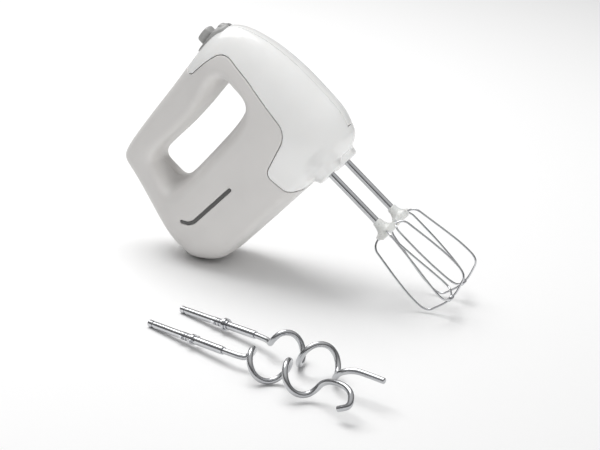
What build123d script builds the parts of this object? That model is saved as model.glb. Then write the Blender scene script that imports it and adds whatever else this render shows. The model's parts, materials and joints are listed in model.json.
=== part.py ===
from build123d import *
from math import atan, ceil, cos, degrees, pi, radians, sin, sqrt, tan
import os

# Hand mixer with two whisks and two dough hooks, in millimetres.
# The mixer is described upright: +X forward to the nose, +Y to its left, +Z up to the handle,
# with the origin between the two drive bores, on the end plane of their collars. tipped() then
# tips it into its resting pose, where the heel and the whisks stand on the ground plane z = 0.

# ---- driving dimensions ----
AXIS_GAP = 42.0           # distance between the two drive axes
WALL = 2.4                # moulded wall of the body
SEAM = 0.5                # gap between the grey body and the white nose cover
SHAFT_D = 6.0             # whisk shaft and hook shank
RUN_FIT = 0.06            # radial clearance of a running fit
SLIDE_FIT = 0.10          # radial clearance of a sliding fit
GAP = 0.5                 # free air between pieces that move past each other
SHAFT_OUT = 65.0          # whisk shaft, from collar to hub
SHAFT_IN = 44.0           # whisk shaft, inside the spindle
WHISK_LEN = 80.0          # hub top to whisk tip
WIRE_D = 1.8              # whisk wire
COLLAR_R = 12.0           # outer radius of the collars round the drive bores
HOLE_LEN = 108.5          # hand opening, along the handle
HOLE_HIGH = 36.0          # hand opening, height
HALF_WIDE = 40.0          # half the width of the motor body
MOTOR_Z = 45.0            # height of the motor shaft
MOTOR_SIZE = 44.0         # stator core, across
MOTOR_LEN = 32.0          # stator core, along the shaft
WORM_R = 7.4              # worm, pitch radius
WORM_STARTS = 2
WHEEL_TEETH = 27
TOOTH = 0.55              # half the tooth depth
MESH = 0.3                # free air between the worm and a wheel
WHEEL_WIDE = 8.0          # worm wheel, face width
SCREW_D = 3.0             # housing screws
CORD_BORE = 7.4           # bore of the cord inlet bush
KNOB_LEN = 14.0           # speed knob, along the handle
KNOB_HIGH = 8.0           # speed knob, above its plate
SELECTOR_TRAVEL = 8.0     # speed knob, full travel
EJECT_TRAVEL = 4.0        # ejector, full travel
HOOK_WIRE_D = 4.8         # dough hook wire
HOOK_R = 11.4             # dough hook, centre line of the wire
HOOK_PITCH = 36.0         # dough hook, length of one turn
HOOK_TURNS = 2.0
HOOK_SHANK = 84.0         # dough hook, straight shank

AXIS_Y = AXIS_GAP / 2
SHAFT_R = SHAFT_D / 2
SPINDLE_WALL = 1.6
SPINDLE_R = SHAFT_R + SLIDE_FIT + SPINDLE_WALL
BUSH_WALL = 2.4
BUSH_R = SPINDLE_R + RUN_FIT + BUSH_WALL
BEARING_R = SHAFT_R + RUN_FIT + BUSH_WALL
WHISK_R = 0.581 * AXIS_GAP          # widest radius of a whisk, so that the two mesh
ROTOR_D = 0.57 * MOTOR_SIZE         # armature core
FAN_D = MOTOR_SIZE + 2.0            # cooling fan
WIRE_R = WIRE_D / 2
WHEEL_R = AXIS_Y - WORM_R - MESH
SIDES = {"left": 1, "right": -1}


# ---- small helpers ----
def cyl(r, length, at, axis="Z"):
    """Cylinder that starts at the point and runs along +X, +Y or +Z."""
    turn = {"X": Rot(0, 90, 0), "Y": Rot(-90, 0, 0), "Z": Rot(0, 0, 0)}[axis]
    return Pos(*at) * turn * Cylinder(r, length, align=(Align.CENTER, Align.CENTER, Align.MIN))


def tube(outer, inner, length, at, axis="Z"):
    """Hollow cylinder, as cyl()."""
    return cyl(outer, length, at, axis) - cyl(inner, length, at, axis)


def block(x, y, z):
    """Box given by its three (low, high) pairs."""
    size = [high - low for low, high in (x, y, z)]
    middle = [(high + low) / 2 for low, high in (x, y, z)]
    return Pos(*middle) * Box(*size)


def turned(points, at=(0, 0, 0)):
    """Solid of revolution about Z from (radius, height) points."""
    wire = Polyline(*[(r, 0, z) for r, z in points], close=True)
    return Pos(*at) * revolve(make_face(wire), Axis.Z)


def group(shapes):
    """Several separate solids as one shape."""
    return Compound([solid for shape in shapes for solid in shape.solids()])


def bent_wire(points, radius):
    """Round wire along straight runs joined by tangent arcs, each as large as its runs allow."""
    corners = [Vector(*p) for p in points]
    bends = []
    for before, at, after in zip(corners, corners[1:], corners[2:]):
        run_in = at - before
        run_out = after - at
        half_turn = radians(run_in.get_angle(run_out)) / 2
        bends.append(0.45 * min(run_in.length, run_out.length) / tan(half_turn))
    path = FilletPolyline(*points, radius=bends)
    start = Plane(origin=path @ 0, z_dir=path % 0)
    return sweep(start * Circle(radius), path=path)


def smooth(t):
    """Step from 0 to 1 with level ends."""
    t = min(max(t, 0.0), 1.0)
    return t * t * (3 - 2 * t)


# ---- body surface: plan sections, from the underside up to the handle ----
# rear end (x, z), front end (x, z), half width at the rear, half width at the nose
SECTIONS = [
    ((-128.0, 13.0), (20.0, 5.0), 0.68, 0.66),
    ((-135.5, 15.6), (27.5, 9.0), 0.83, 0.78),
    ((-147.0, 23.0), (34.5, 17.5), 0.94, 0.90),
    ((-156.5, 34.5), (38.5, 29.0), 0.99, 0.97),
    ((-160.0, 52.0), (40.6, 48.0), 1.00, 1.00),
    ((-158.3, 70.0), (41.1, 73.0), 0.98, 1.00),
    ((-154.2, 90.0), (40.0, 95.0), 0.86, 0.97),
    ((-150.8, 108.0), (37.6, 113.0), 0.67, 0.91),
    ((-146.6, 128.0), (33.0, 131.0), 0.53, 0.81),
    ((-144.4, 139.0), (27.5, 144.0), 0.47, 0.71),
    ((-140.2, 145.4), (21.5, 151.5), 0.39, 0.60),
    ((-131.0, 149.4), (14.0, 158.0), 0.26, 0.43),
]
NOSE_ROUND = 60.0         # length of the rounded front of each section
REAR_ROUND = 52.0         # length of the rounded rear of each section


def section_wire(rear, front, wide_rear, wide_nose, inset):
    """One closed plan outline on the slanted plane through its rear and front ends."""
    (x_rear, z_rear), (x_front, z_front) = rear, front
    points = []
    for step in range(7):
        angle = pi / 2 * step / 6
        x = x_front - NOSE_ROUND * (1 - cos(angle) ** 0.92)
        points.append((x, sin(angle) ** 0.92))
    for share in (0.25, 0.5, 0.75):
        span = (x_front - NOSE_ROUND) - (x_rear + REAR_ROUND)
        points.append((x_front - NOSE_ROUND - span * share, 1.0))
    for step in range(6, -1, -1):
        angle = pi / 2 * step / 6
        x = x_rear + REAR_ROUND * (1 - cos(angle) ** 0.78)
        points.append((x, sin(angle) ** 0.78))
    upper = []
    for x, share in points:
        blend = smooth((x + 62.0) / 56.0)
        wide = (wide_rear + (wide_nose - wide_rear) * blend) * HALF_WIDE - inset
        slant = (x - x_rear) / (x_front - x_rear)
        upper.append((x, wide * share, z_rear + (z_front - z_rear) * slant))
    lower = [(x, -y, z) for x, y, z in reversed(upper[1:-1])]
    return Wire([Spline(*upper, *lower, periodic=True).edge()])


def inset_end(index, side, inset):
    """End point of a section, moved inwards along the side outline's normal."""
    ends = [row[side] for row in SECTIONS]
    x, z = ends[index]
    if index in (0, len(ends) - 1):
        return x, z + (inset if index == 0 else -inset)
    run_x = ends[index + 1][0] - ends[index - 1][0]
    run_z = ends[index + 1][1] - ends[index - 1][1]
    length = sqrt(run_x**2 + run_z**2)
    inward = 1 if side == 0 else -1
    return x + inward * inset * run_z / length, z - inward * inset * run_x / length


def body_solid(inset=0.0):
    """Closed body, shrunk by the inset."""
    wires = []
    for index, (rear, front, wide_rear, wide_nose) in enumerate(SECTIONS):
        rear_in = inset_end(index, 0, inset)
        front_in = inset_end(index, 1, inset)
        wires.append(section_wire(rear_in, front_in, wide_rear, wide_nose, inset))
    return Solid.make_loft(wires)


# ---- hand opening: flared from the middle plane to both sides ----
HOLE_MID = (-64.3, 106.6)
HOLE_DIP = 4.6            # how far the grip swells into the opening
# distance from the middle plane as a share of HALF_WIDE, and how far the edge has flared there
FLARE = [(-1.1, 17.0), (-0.85, 13.0), (-0.625, 7.5), (-0.45, 3.2), (-0.25, 0.7), (0, 0.0),
         (0.25, 0.7), (0.45, 3.2), (0.625, 7.5), (0.85, 13.0), (1.1, 17.0)]
FLARE_SHARE = {"front": 0.4, "rear": 1.0, "top": 0.8, "bottom": 0.55}


def hole_wire(y, flare, grow):
    """Outline of the opening at one distance from the middle plane."""
    points = []
    for step in range(40):
        angle = 2 * pi * step / 40
        c, s = cos(angle), sin(angle)
        if s >= 0:
            power = 5.6 if c > 0 else 5.0
        else:
            power = 3.4 if c > 0 else 4.0
        end = "front" if c > 0 else "rear"
        edge = "top" if s > 0 else "bottom"
        half_x = HOLE_LEN / 2 + grow + flare * FLARE_SHARE[end]
        half_z = HOLE_HIGH / 2 + grow + flare * FLARE_SHARE[edge]
        x = HOLE_MID[0] + half_x * (1 if c > 0 else -1) * abs(c) ** (2 / power)
        z = HOLE_MID[1] + half_z * (1 if s > 0 else -1) * abs(s) ** (2 / power)
        if s > 0:
            share = (x - HOLE_MID[0] - 5.0) / (HOLE_LEN / 2)
            z -= HOLE_DIP * max(0.0, 1 - share**2) * smooth(s * 1.6)
        points.append((x, y, z))
    return Wire([Spline(*points, periodic=True).edge()])


def hole_solid(grow=0.0):
    """The hand opening as a solid."""
    return Solid.make_loft([hole_wire(share * HALF_WIDE, flare, grow) for share, flare in FLARE])


# ---- seam between grey body and white nose cover, seen from the side ----
SEAM_PATH = [(-31.2, 190), (-31.4, 146.4), (-9, 143.4), (8.6, 138.6), (8.9, 106), (2.4, 49.5),
             (-36.8, 38.6), (-36.2, 14.5), (-20.5, 2.5), (-20.5, -20)]
SEAM_RADII = [5.0, 40.0, 13.0, 90.0, 17.0, 8.0, 13.0, 5.0]


def nose_region(grow):
    """Everything ahead of the seam, as a block across the body."""
    path = FilletPolyline(*[(x, 0, z) for x, z in SEAM_PATH], radius=SEAM_RADII)
    (x_low, z_low), (x_high, z_high) = SEAM_PATH[-1], SEAM_PATH[0]
    closing = Polyline((x_low, 0, z_low), (90, 0, z_low), (90, 0, z_high), (x_high, 0, z_high))
    face = make_face(path.edges() + closing.edges())
    face = offset(face, amount=grow) if grow else face
    return extrude(face, amount=60, dir=(0, 1, 0), both=True)


# ---- body shells ----
DECK_Z = 14.0             # top of the collar pads, where the gear frame stands
BORE_R = SPINDLE_R + 0.3  # bore of a collar, round the spindle
STRIP_HALF = 4.7          # half the width of the strip down the nose
PLATE_X = (-19.0, 20.5)   # control plate, along the handle
PLATE_T = 2.2
PILLARS = [(-141, 42), (-131, 118), (-66, 137.5), (-112, 77)]
PILLAR_R = 4.6
SCREW_SEAT = 13.0         # height of the screw heads' seats above the middle plane
SLOT = ((-128.3, 63.0), (-124.4, 57.6), (-119.0, 54.9), (-71.6, 51.6))
SLOT_W = 3.4
SLOT_DEPTH = 1.4
SLOT_RECESS = 0.5
VENTS = 6
VENT_X = -100.0           # first cooling slot on the underside
VENT_PITCH = 7.0
VENT_W = 2.6
CORD_Z = 66.0             # cord inlet, on the rear face
CORD_WALL = 2.2


def top_z(x):
    """Height of the body's flat top along the middle plane."""
    (x_rear, z_rear), (x_front, z_front) = SECTIONS[-1][0], SECTIONS[-1][1]
    return z_rear + (z_front - z_rear) * (x - x_rear) / (x_front - x_rear)


TOP_SLOPE = degrees(atan((top_z(1) - top_z(0))))


def on_top(x, y=0.0, lift=0.0):
    """Frame on the flat top, with its Z square to that top."""
    return Pos(x, y, top_z(x)) * Rot(0, -TOP_SLOPE, 0) * Pos(0, 0, lift)


def collar(side):
    """Flared collar round one drive bore, down to the plane z = 0."""
    flare = [(0, 0), (COLLAR_R - 0.8, 0), (COLLAR_R, 0.8), (COLLAR_R + 0.4, 3.5),
             (COLLAR_R + 2.2, 7.0), (COLLAR_R + 3.4, 10.0), (COLLAR_R + 3.4, DECK_Z), (0, DECK_Z)]
    return turned(flare, (0, side * AXIS_Y, 0))


def slot_solid(side, low, high, wide):
    """Upright wall that follows the slot, between two distances from the middle plane."""
    line = FilletPolyline(*[(x, 0, z) for x, z in SLOT], radius=[6.0, 9.0])
    face = offset(Wire(line.edges()), amount=wide / 2)
    face = make_face(face.edges()) if not face.faces() else face
    solid = extrude(face, amount=high - low, dir=(0, 1, 0))
    return Pos(0, low if side > 0 else -high, 0) * solid


def body_shells():
    """Both grey halves, both nose covers and the strip between the nose covers."""
    outer = body_solid()
    inner = body_solid(WALL)
    opening = hole_solid()
    sleeve = hole_solid(WALL)
    shell = outer - opening - (inner - sleeve)
    for side in SIDES.values():
        shell += collar(side) & (outer + block((-30, 30), (-60, 60), (-1, DECK_Z)))
        shell -= cyl(BORE_R, DECK_Z + 2, (0, side * AXIS_Y, -1))
        wheel_low = MOTOR_Z - WHEEL_WIDE / 2 - GAP
        shell -= cyl(WHEEL_R + TOOTH + GAP, WHEEL_WIDE + 2 * GAP, (0, side * AXIS_Y, wheel_low))
        shell -= cyl(BUSH_R + GAP, FRAME_T + GAP, (0, side * AXIS_Y, DECK_Z))
    shell -= cyl(BUTTON_R + BUTTON_FIT, 20, (BUTTON_X, 0, top_z(BUTTON_X) - 10))
    shell -= stem_slot()
    region_nose = nose_region(-SEAM / 2)
    region_body = nose_region(SEAM / 2)
    nose = shell & region_nose
    grey = shell - region_body

    slot_cut = {}
    for name, side in SIDES.items():
        slot_cut[name] = slot_solid(side, 20, 60, SLOT_W) - body_solid(SLOT_DEPTH)
    halves = {}
    for name, side in SIDES.items():
        keep = block((-300, 200), (0, 90) if side > 0 else (-90, 0), (-50, 300))
        half = grey & keep
        for x, z in PILLARS:
            post = cyl(PILLAR_R, 60, (x, 0 if side > 0 else -60, z), "Y")
            half += (post & (inner - sleeve))
            if side > 0:
                half -= cyl(SCREW_D / 2 + 0.3, SCREW_SEAT, (x, 0, z), "Y")
                half -= cyl(SCREW_D + 0.5, 60, (x, SCREW_SEAT, z), "Y")
            else:
                half -= cyl(SCREW_D / 2 + 0.02, 14, (x, -14, z), "Y")
        half -= slot_cut[name]
        for index in range(VENTS):
            x = VENT_X + index * VENT_PITCH
            y_pair = (4, 22) if side > 0 else (-22, -4)
            half -= block((x, x + VENT_W), y_pair, (0, 18))
        half -= cyl(CORD_BORE / 2 + CORD_WALL, 30, (-170, 0, CORD_Z), "X")
        halves[name] = half
    front = block((18, 90), (-STRIP_HALF, STRIP_HALF), (20, 138))
    gap = 0.25
    front_cut = block((18, 90), (-STRIP_HALF - gap, STRIP_HALF + gap), (20 - gap, 138 + gap))
    strip = nose & front
    covers = {}
    for name, side in SIDES.items():
        keep = block((-300, 200), (0, 90) if side > 0 else (-90, 0), (-50, 300))
        covers[name] = (nose & keep) - front_cut
    return halves, covers, strip, slot_cut


# ---- drive train ----
WORM_LEN = 18.0
WORM_SEAT = 0.5           # depth of the shaft's seat under the worm
SHAFT_X = (-106.0, 25.0)  # motor shaft
STATOR_X = -79.0          # rear face of the stator core
FRAME_X = (-24.0, 25.0)   # gear frame
FRAME_Y = 33.0
FRAME_T = 4.0
COVER_Z = 60.0            # underside of the gear frame's cover
BEARING_LEN = 6.0
STUD_WALL = 5.0
STUD_INSET = 3.4


def wave_wire(radius, depth, waves, steps):
    """Closed outline of a gear with rounded teeth."""
    points = []
    for step in range(waves * steps):
        angle = 2 * pi * step / (waves * steps)
        r = radius + depth * cos(waves * angle)
        points.append((r * cos(angle), r * sin(angle)))
    return Wire([Spline(*points, periodic=True).edge()])


def twisted(wire, length, angle):
    """Outline drawn out along +Z while it turns."""
    return Solid.extrude_linear_with_rotation(wire, center=(0, 0, 0), normal=(0, 0, length), angle=angle)


WHEEL_PITCH = 2 * pi * WHEEL_R / WHEEL_TEETH
LEAD = WORM_STARTS * WHEEL_PITCH
LEAD_ANGLE = atan(LEAD / (2 * pi * WORM_R))


def worm():
    """Worm on the motor shaft, centred between the wheels."""
    wire = wave_wire(WORM_R, TOOTH, WORM_STARTS, 10)
    solid = twisted(wire, WORM_LEN, 360 * WORM_LEN / LEAD)
    solid = Pos(0, 0, -WORM_LEN / 2) * Rot(0, 0, -180 * WORM_LEN / LEAD) * solid
    solid -= cyl(SHAFT_R - WORM_SEAT, WORM_LEN, (0, 0, -WORM_LEN / 2))
    return Pos(0, 0, MOTOR_Z) * Rot(0, 90, 0) * solid


def worm_wheel(side):
    """Helical worm wheel on its spindle."""
    half_turn = WHEEL_WIDE / 2 * tan(LEAD_ANGLE) / WHEEL_R
    wire = wave_wire(WHEEL_R, TOOTH, WHEEL_TEETH, 6)
    gear = twisted(wire, WHEEL_WIDE, degrees(2 * half_turn))
    gear = Rot(0, 0, -degrees(half_turn)) * Pos(0, 0, -WHEEL_WIDE / 2) * gear
    groove = tube(WHEEL_R - 2.5, SPINDLE_R + 1.5, 2.0, (0, 0, 0))
    gear -= Pos(0, 0, WHEEL_WIDE / 2 - 2.0) * groove
    gear -= Pos(0, 0, -WHEEL_WIDE / 2) * groove
    gear -= cyl(SPINDLE_R, WHEEL_WIDE, (0, 0, -WHEEL_WIDE / 2))
    return Pos(0, side * AXIS_Y, MOTOR_Z) * Rot(0, 0, -90 * side) * gear


def spindle(side):
    """Hollow drive spindle with the cross slot that takes the whisk's key."""
    at = (0, side * AXIS_Y, 1.5)
    body = tube(SPINDLE_R, SHAFT_R + SLIDE_FIT, COVER_Z + FRAME_T - 1.5, at)
    key = block((-SPINDLE_R, SPINDLE_R), (side * AXIS_Y - 1.1, side * AXIS_Y + 1.1), (1.5, 9.0))
    return body - key


def whisk_shaft(side):
    """Bright steel shaft with a cross key and a retaining groove."""
    low = -SHAFT_OUT + 4.0
    body = cyl(SHAFT_R, SHAFT_IN - low - 1.0, (0, side * AXIS_Y, low))
    cone = Cone(SHAFT_R, SHAFT_R - 1.0, 1.0, align=(Align.CENTER, Align.CENTER, Align.MIN))
    body += Pos(0, side * AXIS_Y, SHAFT_IN - 1.0) * cone
    body -= tube(SHAFT_R + 1, SHAFT_R - 0.5, 2.0, (0, side * AXIS_Y, SHAFT_IN - 6.0))
    reach = SPINDLE_R - 0.3
    key = block((-reach, reach), (side * AXIS_Y - 0.9, side * AXIS_Y + 0.9), (2.0, 8.0))
    return body + key


HUB_TOP = -SHAFT_OUT + 10.0


def whisk_hub(side, wires):
    """White moulded hub that holds the shaft and the four wires."""
    low = -SHAFT_OUT - 6.0
    neck = SHAFT_R + 1.0
    profile = [(0, low), (7.0, low), (7.8, low + 0.8), (8.0, -SHAFT_OUT), (neck + 1.6, -SHAFT_OUT + 2.5),
               (neck + 0.4, -SHAFT_OUT + 6.0), (neck, HUB_TOP), (0, HUB_TOP)]
    body = turned(profile, (0, side * AXIS_Y, 0))
    body -= cyl(SHAFT_R, 40, (0, side * AXIS_Y, -SHAFT_OUT + 4.0))
    for wire in wires:
        body -= wire
    return body


TIP_Z = -SHAFT_OUT - WHISK_LEN - 1.0
WIRE_Z = -SHAFT_OUT - 2.0
# whisk wire: radius as a share of the widest, height below the hub as a share, twist in degrees
WHISK_ROUTE = [(0.70, 0.0, 0.0), (0.80, 0.22, 4.0), (0.91, 0.45, 8.0), (1.0, 0.70, 13.0),
               (0.97, 0.925, 17.0), (0.50, 0.975, 17.5), (0.22, 1.0, 18.0)]
WHISK_TURN = {"right": 26.6, "left": 80.6}


def whisk_wire(side, azimuth):
    """One of the four wires, from inside the hub to inside the tip."""
    route = [(3.6, WIRE_Z, 0.0)]
    for share, drop, twist in WHISK_ROUTE:
        route.append((WHISK_R * share, WIRE_Z + (TIP_Z - WIRE_Z) * drop, twist))
    route.append((1.6, TIP_Z, WHISK_ROUTE[-1][2]))
    points = []
    for r, z, twist in route:
        angle = radians(azimuth + side * twist)
        points.append((r * cos(angle), side * AXIS_Y + r * sin(angle), z))
    return bent_wire(points, WIRE_R)


def whisk_tip(side, wires):
    """Small spot-welded boss where the wires cross."""
    body = turned([(0, TIP_Z - 1.6), (2.6, TIP_Z - 1.6), (3.6, TIP_Z - 0.6), (3.6, TIP_Z + 1.2),
                   (2.8, TIP_Z + 1.9), (0, TIP_Z + 1.9)], (0, side * AXIS_Y, 0))
    for wire in wires:
        body -= wire
    return body


def stud_places():
    """Places (y, z) of the four studs that hold the stator to the gear frame."""
    reach = MOTOR_SIZE / 2 - STUD_INSET
    return [(y * reach, MOTOR_Z + up * reach) for y in (1, -1) for up in (1, -1)]


def motor_studs():
    """Four long screws from the rear of the stator into the gear frame."""
    studs = []
    for y, z in stud_places():
        stud = cyl(SCREW_D / 2, FRAME_X[0] + STUD_WALL - STATOR_X, (STATOR_X, y, z), "X")
        studs.append(stud + cyl(SCREW_D - 0.2, 2.4, (STATOR_X - 2.4, y, z), "X"))
    return group(studs)


def across(side, low, high):
    """Interval across the body between two distances from the middle plane."""
    return (low, high) if side > 0 else (-high, -low)


COMMUTATOR_X = -97.0
COMMUTATOR_LEN = 10.0
COMMUTATOR_R = 7.0
BRUSH_LEN = 7.0


def brush_parts():
    """Carbon brushes, their holders and springs, by node name."""
    low_x, high_x = COMMUTATOR_X + 2.0, COMMUTATOR_X + 8.0
    shelf = MOTOR_SIZE / 2 - 3
    brush_in = COMMUTATOR_R + 0.1
    brush_out = brush_in + BRUSH_LEN
    holders, brushes, springs = [], [], []
    for side in (1, -1):
        room = across(side, COMMUTATOR_R + 2.5, shelf)
        box = block((low_x - 1.2, high_x + 1.2), room, (MOTOR_Z - 4.2, MOTOR_Z + 4.2))
        holders.append(box - block((low_x, high_x), room, (MOTOR_Z - 3, MOTOR_Z + 3)))
        wide = across(side, brush_in, brush_out)
        brushes.append(block((low_x + 0.1, high_x - 0.1), wide, (MOTOR_Z - 2.9, MOTOR_Z + 2.9)))
        start = across(side, brush_out, shelf)[0]
        springs.append(tube(2.2, 1.5, shelf - brush_out, ((low_x + high_x) / 2, start, MOTOR_Z), "Y"))
    return {
        "brush_holders": group(holders), "carbon_brushes": group(brushes),
        "brush_springs": group(springs),
    }


def motor_parts():
    """Fixed pieces of the motor, by node name."""
    half = MOTOR_SIZE / 2
    x_end = STATOR_X + MOTOR_LEN
    core = block((STATOR_X, x_end), (-half, half), (MOTOR_Z - half, MOTOR_Z + half))
    core = fillet(core.edges().filter_by(Axis.X), 6.0)
    window = cyl(ROTOR_D / 2 + GAP, MOTOR_LEN, (STATOR_X, 0, MOTOR_Z), "X")
    window += block((STATOR_X, x_end), (-half + 6, half - 6), (MOTOR_Z - 9, MOTOR_Z + 9))
    core -= window
    for y, z in stud_places():
        core -= cyl(SCREW_D / 2 + 0.1, MOTOR_LEN, (STATOR_X, y, z), "X")
    coils = []
    for side in (1, -1):
        wide = across(side, ROTOR_D / 2 + 1.6, half - 6.4)
        loop = block((STATOR_X - 6, x_end + 6), wide, (MOTOR_Z - 8.6, MOTOR_Z + 8.6))
        coils.append(fillet(loop.edges().filter_by(Axis.Y), 3.0))
    x_bracket = SHAFT_X[0] + 1.0
    bracket = block((x_bracket, x_bracket + 4), (-half, half), (MOTOR_Z - 9, MOTOR_Z + 9))
    bracket += block((x_bracket, STATOR_X), (half - 3, half), (MOTOR_Z - 9, MOTOR_Z + 9))
    bracket += block((x_bracket, STATOR_X), (-half, -half + 3), (MOTOR_Z - 9, MOTOR_Z + 9))
    bracket -= cyl(BEARING_R, 4, (x_bracket, 0, MOTOR_Z), "X")
    rear_bush = tube(BEARING_R, SHAFT_R + RUN_FIT, 4, (x_bracket, 0, MOTOR_Z), "X")
    return {
        "stator_core": core, "field_coils": group(coils), "motor_bracket": bracket,
        "motor_bush": rear_bush, "motor_studs": motor_studs(), **brush_parts(),
    }


WINDING_LEN = 6.5         # end turns of the armature, past its core


def rotor_parts():
    """Everything that turns on the motor shaft, by node name."""
    shaft = cyl(SHAFT_R, SHAFT_X[1] - SHAFT_X[0], (SHAFT_X[0], 0, MOTOR_Z), "X")
    shaft -= tube(SHAFT_R + 1, SHAFT_R - WORM_SEAT, WORM_LEN, (-WORM_LEN / 2, 0, MOTOR_Z), "X")
    core = tube(ROTOR_D / 2, SHAFT_R, MOTOR_LEN, (STATOR_X, 0, MOTOR_Z), "X")
    slots = 10
    for index in range(slots):
        cut = block((STATOR_X, STATOR_X + MOTOR_LEN), (ROTOR_D / 2 - 5.5, ROTOR_D / 2 + 1), (-1.2, 1.2))
        core -= Pos(0, 0, MOTOR_Z) * Rot(360 * index / slots, 0, 0) * cut
    windings = []
    for x in (STATOR_X - WINDING_LEN, STATOR_X + MOTOR_LEN):
        head = tube(ROTOR_D / 2 - 1.5, SHAFT_R, WINDING_LEN, (x, 0, MOTOR_Z), "X")
        rims = head.edges().filter_by(GeomType.CIRCLE).sort_by(SortBy.LENGTH)[-2:]
        windings.append(fillet(rims, 2.5))
    commutator = tube(COMMUTATOR_R, SHAFT_R, COMMUTATOR_LEN, (COMMUTATOR_X, 0, MOTOR_Z), "X")
    bars = 20
    bar_x = (COMMUTATOR_X, COMMUTATOR_X + COMMUTATOR_LEN - 1)
    for index in range(bars):
        cut = block(bar_x, (COMMUTATOR_R - 0.5, COMMUTATOR_R + 1), (-0.2, 0.2))
        commutator -= Pos(0, 0, MOTOR_Z) * Rot(360 * index / bars, 0, 0) * cut
    x_fan = STATOR_X + MOTOR_LEN + 9.0
    hub = tube(7.0, SHAFT_R, 10, (x_fan, 0, MOTOR_Z), "X")
    disc = tube(FAN_D / 2, 6.5, 1.6, (x_fan, 0, MOTOR_Z), "X")
    fan = hub + disc
    blades = 12
    for index in range(blades):
        blade = block((x_fan + 1.0, x_fan + 9), (6.5, FAN_D / 2 - 0.5), (-0.7, 0.7))
        fan += Pos(0, 0, MOTOR_Z) * Rot(360 * index / blades, 0, 0) * blade
    return {
        "motor_shaft": shaft, "armature_core": core, "armature_windings": group(windings),
        "commutator": commutator, "fan": fan, "worm": worm(),
    }


def gear_frame_parts():
    """Gear frame, its cover and the bushes, by node name."""
    room = body_solid(WALL + GAP)
    frame = block(FRAME_X, (-FRAME_Y, FRAME_Y), (DECK_Z, DECK_Z + FRAME_T)) & room
    cover_x = (FRAME_X[0] + STUD_WALL, FRAME_X[1])
    cover = block(cover_x, (-FRAME_Y, FRAME_Y), (COVER_Z, COVER_Z + FRAME_T)) & room
    frame += block((FRAME_X[0], FRAME_X[0] + STUD_WALL), (-MOTOR_SIZE / 2, MOTOR_SIZE / 2),
                   (DECK_Z + FRAME_T, MOTOR_Z + MOTOR_SIZE / 2))
    worm_bushes = []
    for x in (FRAME_X[0], FRAME_X[1] - BEARING_LEN):
        frame += block((x, x + BEARING_LEN), (-8, 8), (DECK_Z + FRAME_T, COVER_Z))
        frame -= cyl(BEARING_R, BEARING_LEN, (x, 0, MOTOR_Z), "X")
        worm_bushes.append(tube(BEARING_R, SHAFT_R + RUN_FIT, BEARING_LEN, (x, 0, MOTOR_Z), "X"))
    for y, z in stud_places():
        frame -= cyl(SCREW_D / 2, STUD_WALL, (FRAME_X[0], y, z), "X")
    spindle_bushes = []
    for side in (1, -1):
        y = side * AXIS_Y
        frame -= cyl(BUSH_R, FRAME_T, (0, y, DECK_Z))
        cover -= cyl(BUSH_R, FRAME_T, (0, y, COVER_Z))
        for z in (DECK_Z, COVER_Z):
            spindle_bushes.append(tube(BUSH_R, SPINDLE_R + RUN_FIT, FRAME_T, (0, y, z)))
    return {
        "gear_frame": frame, "gear_cover": cover, "spindle_bushes": group(spindle_bushes),
        "worm_bushes": group(worm_bushes),
    }


# ---- controls ----
KNOB_X = -2.8             # middle of the speed knob at rest
BUTTON_X = 13.0           # middle of the ejector button
BUTTON_R = 6.0
BUTTON_FIT = 0.4
BUTTON_UP = 1.6           # button above the plate at rest
PLATE_HALF = 11.5
STEM = 4.0                # thickness of the knob's stem


def stem_slot():
    """Slot under the speed knob, through the plate and the cover below it."""
    length = SELECTOR_TRAVEL + STEM + 2 * GAP
    return on_top(KNOB_X - SELECTOR_TRAVEL / 2) * Box(length, STEM + 2 * GAP, 20)


def controls():
    """Control plate, speed selector and ejector, by node name."""
    length = PLATE_X[1] - PLATE_X[0]
    middle = sum(PLATE_X) / 2
    plate = Box(length, 2 * PLATE_HALF, PLATE_T, align=(Align.CENTER, Align.CENTER, Align.MIN))
    plate = fillet(plate.edges().filter_by(Axis.Z), 7.0)
    plate = fillet(plate.faces().sort_by(Axis.Z)[-1].edges(), 1.2)
    plate = on_top(middle) * plate
    plate -= stem_slot()
    plate -= cyl(BUTTON_R + BUTTON_FIT, 20, (BUTTON_X, 0, top_z(BUTTON_X) - 10))
    knob = Box(KNOB_LEN, 14.0, KNOB_HIGH - GAP, align=(Align.CENTER, Align.CENTER, Align.MIN))
    knob = fillet(knob.edges().filter_by(Axis.Z), 2.2)
    knob = fillet(knob.faces().sort_by(Axis.Z)[-1].edges(), 1.8)
    knob = on_top(KNOB_X, 0, PLATE_T + GAP) * knob
    stem = Box(STEM, STEM, 10.0 + PLATE_T + GAP, align=(Align.CENTER, Align.CENTER, Align.MIN))
    stem = on_top(KNOB_X, 0, -10.0) * stem
    button_low = top_z(BUTTON_X) - EJECT_TRAVEL - 2.0
    button = cyl(BUTTON_R, BUTTON_UP + PLATE_T + EJECT_TRAVEL + 2.0, (BUTTON_X, 0, button_low))
    top_edge = button.edges().filter_by(GeomType.CIRCLE).sort_by(Axis.Z)[-1]
    button = fillet(top_edge, 1.6)
    return {"control_plate": plate, "speed_knob": knob, "knob_stem": stem, "eject_button": button}


FORK_Z = SHAFT_IN + EJECT_TRAVEL + 1.0


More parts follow.
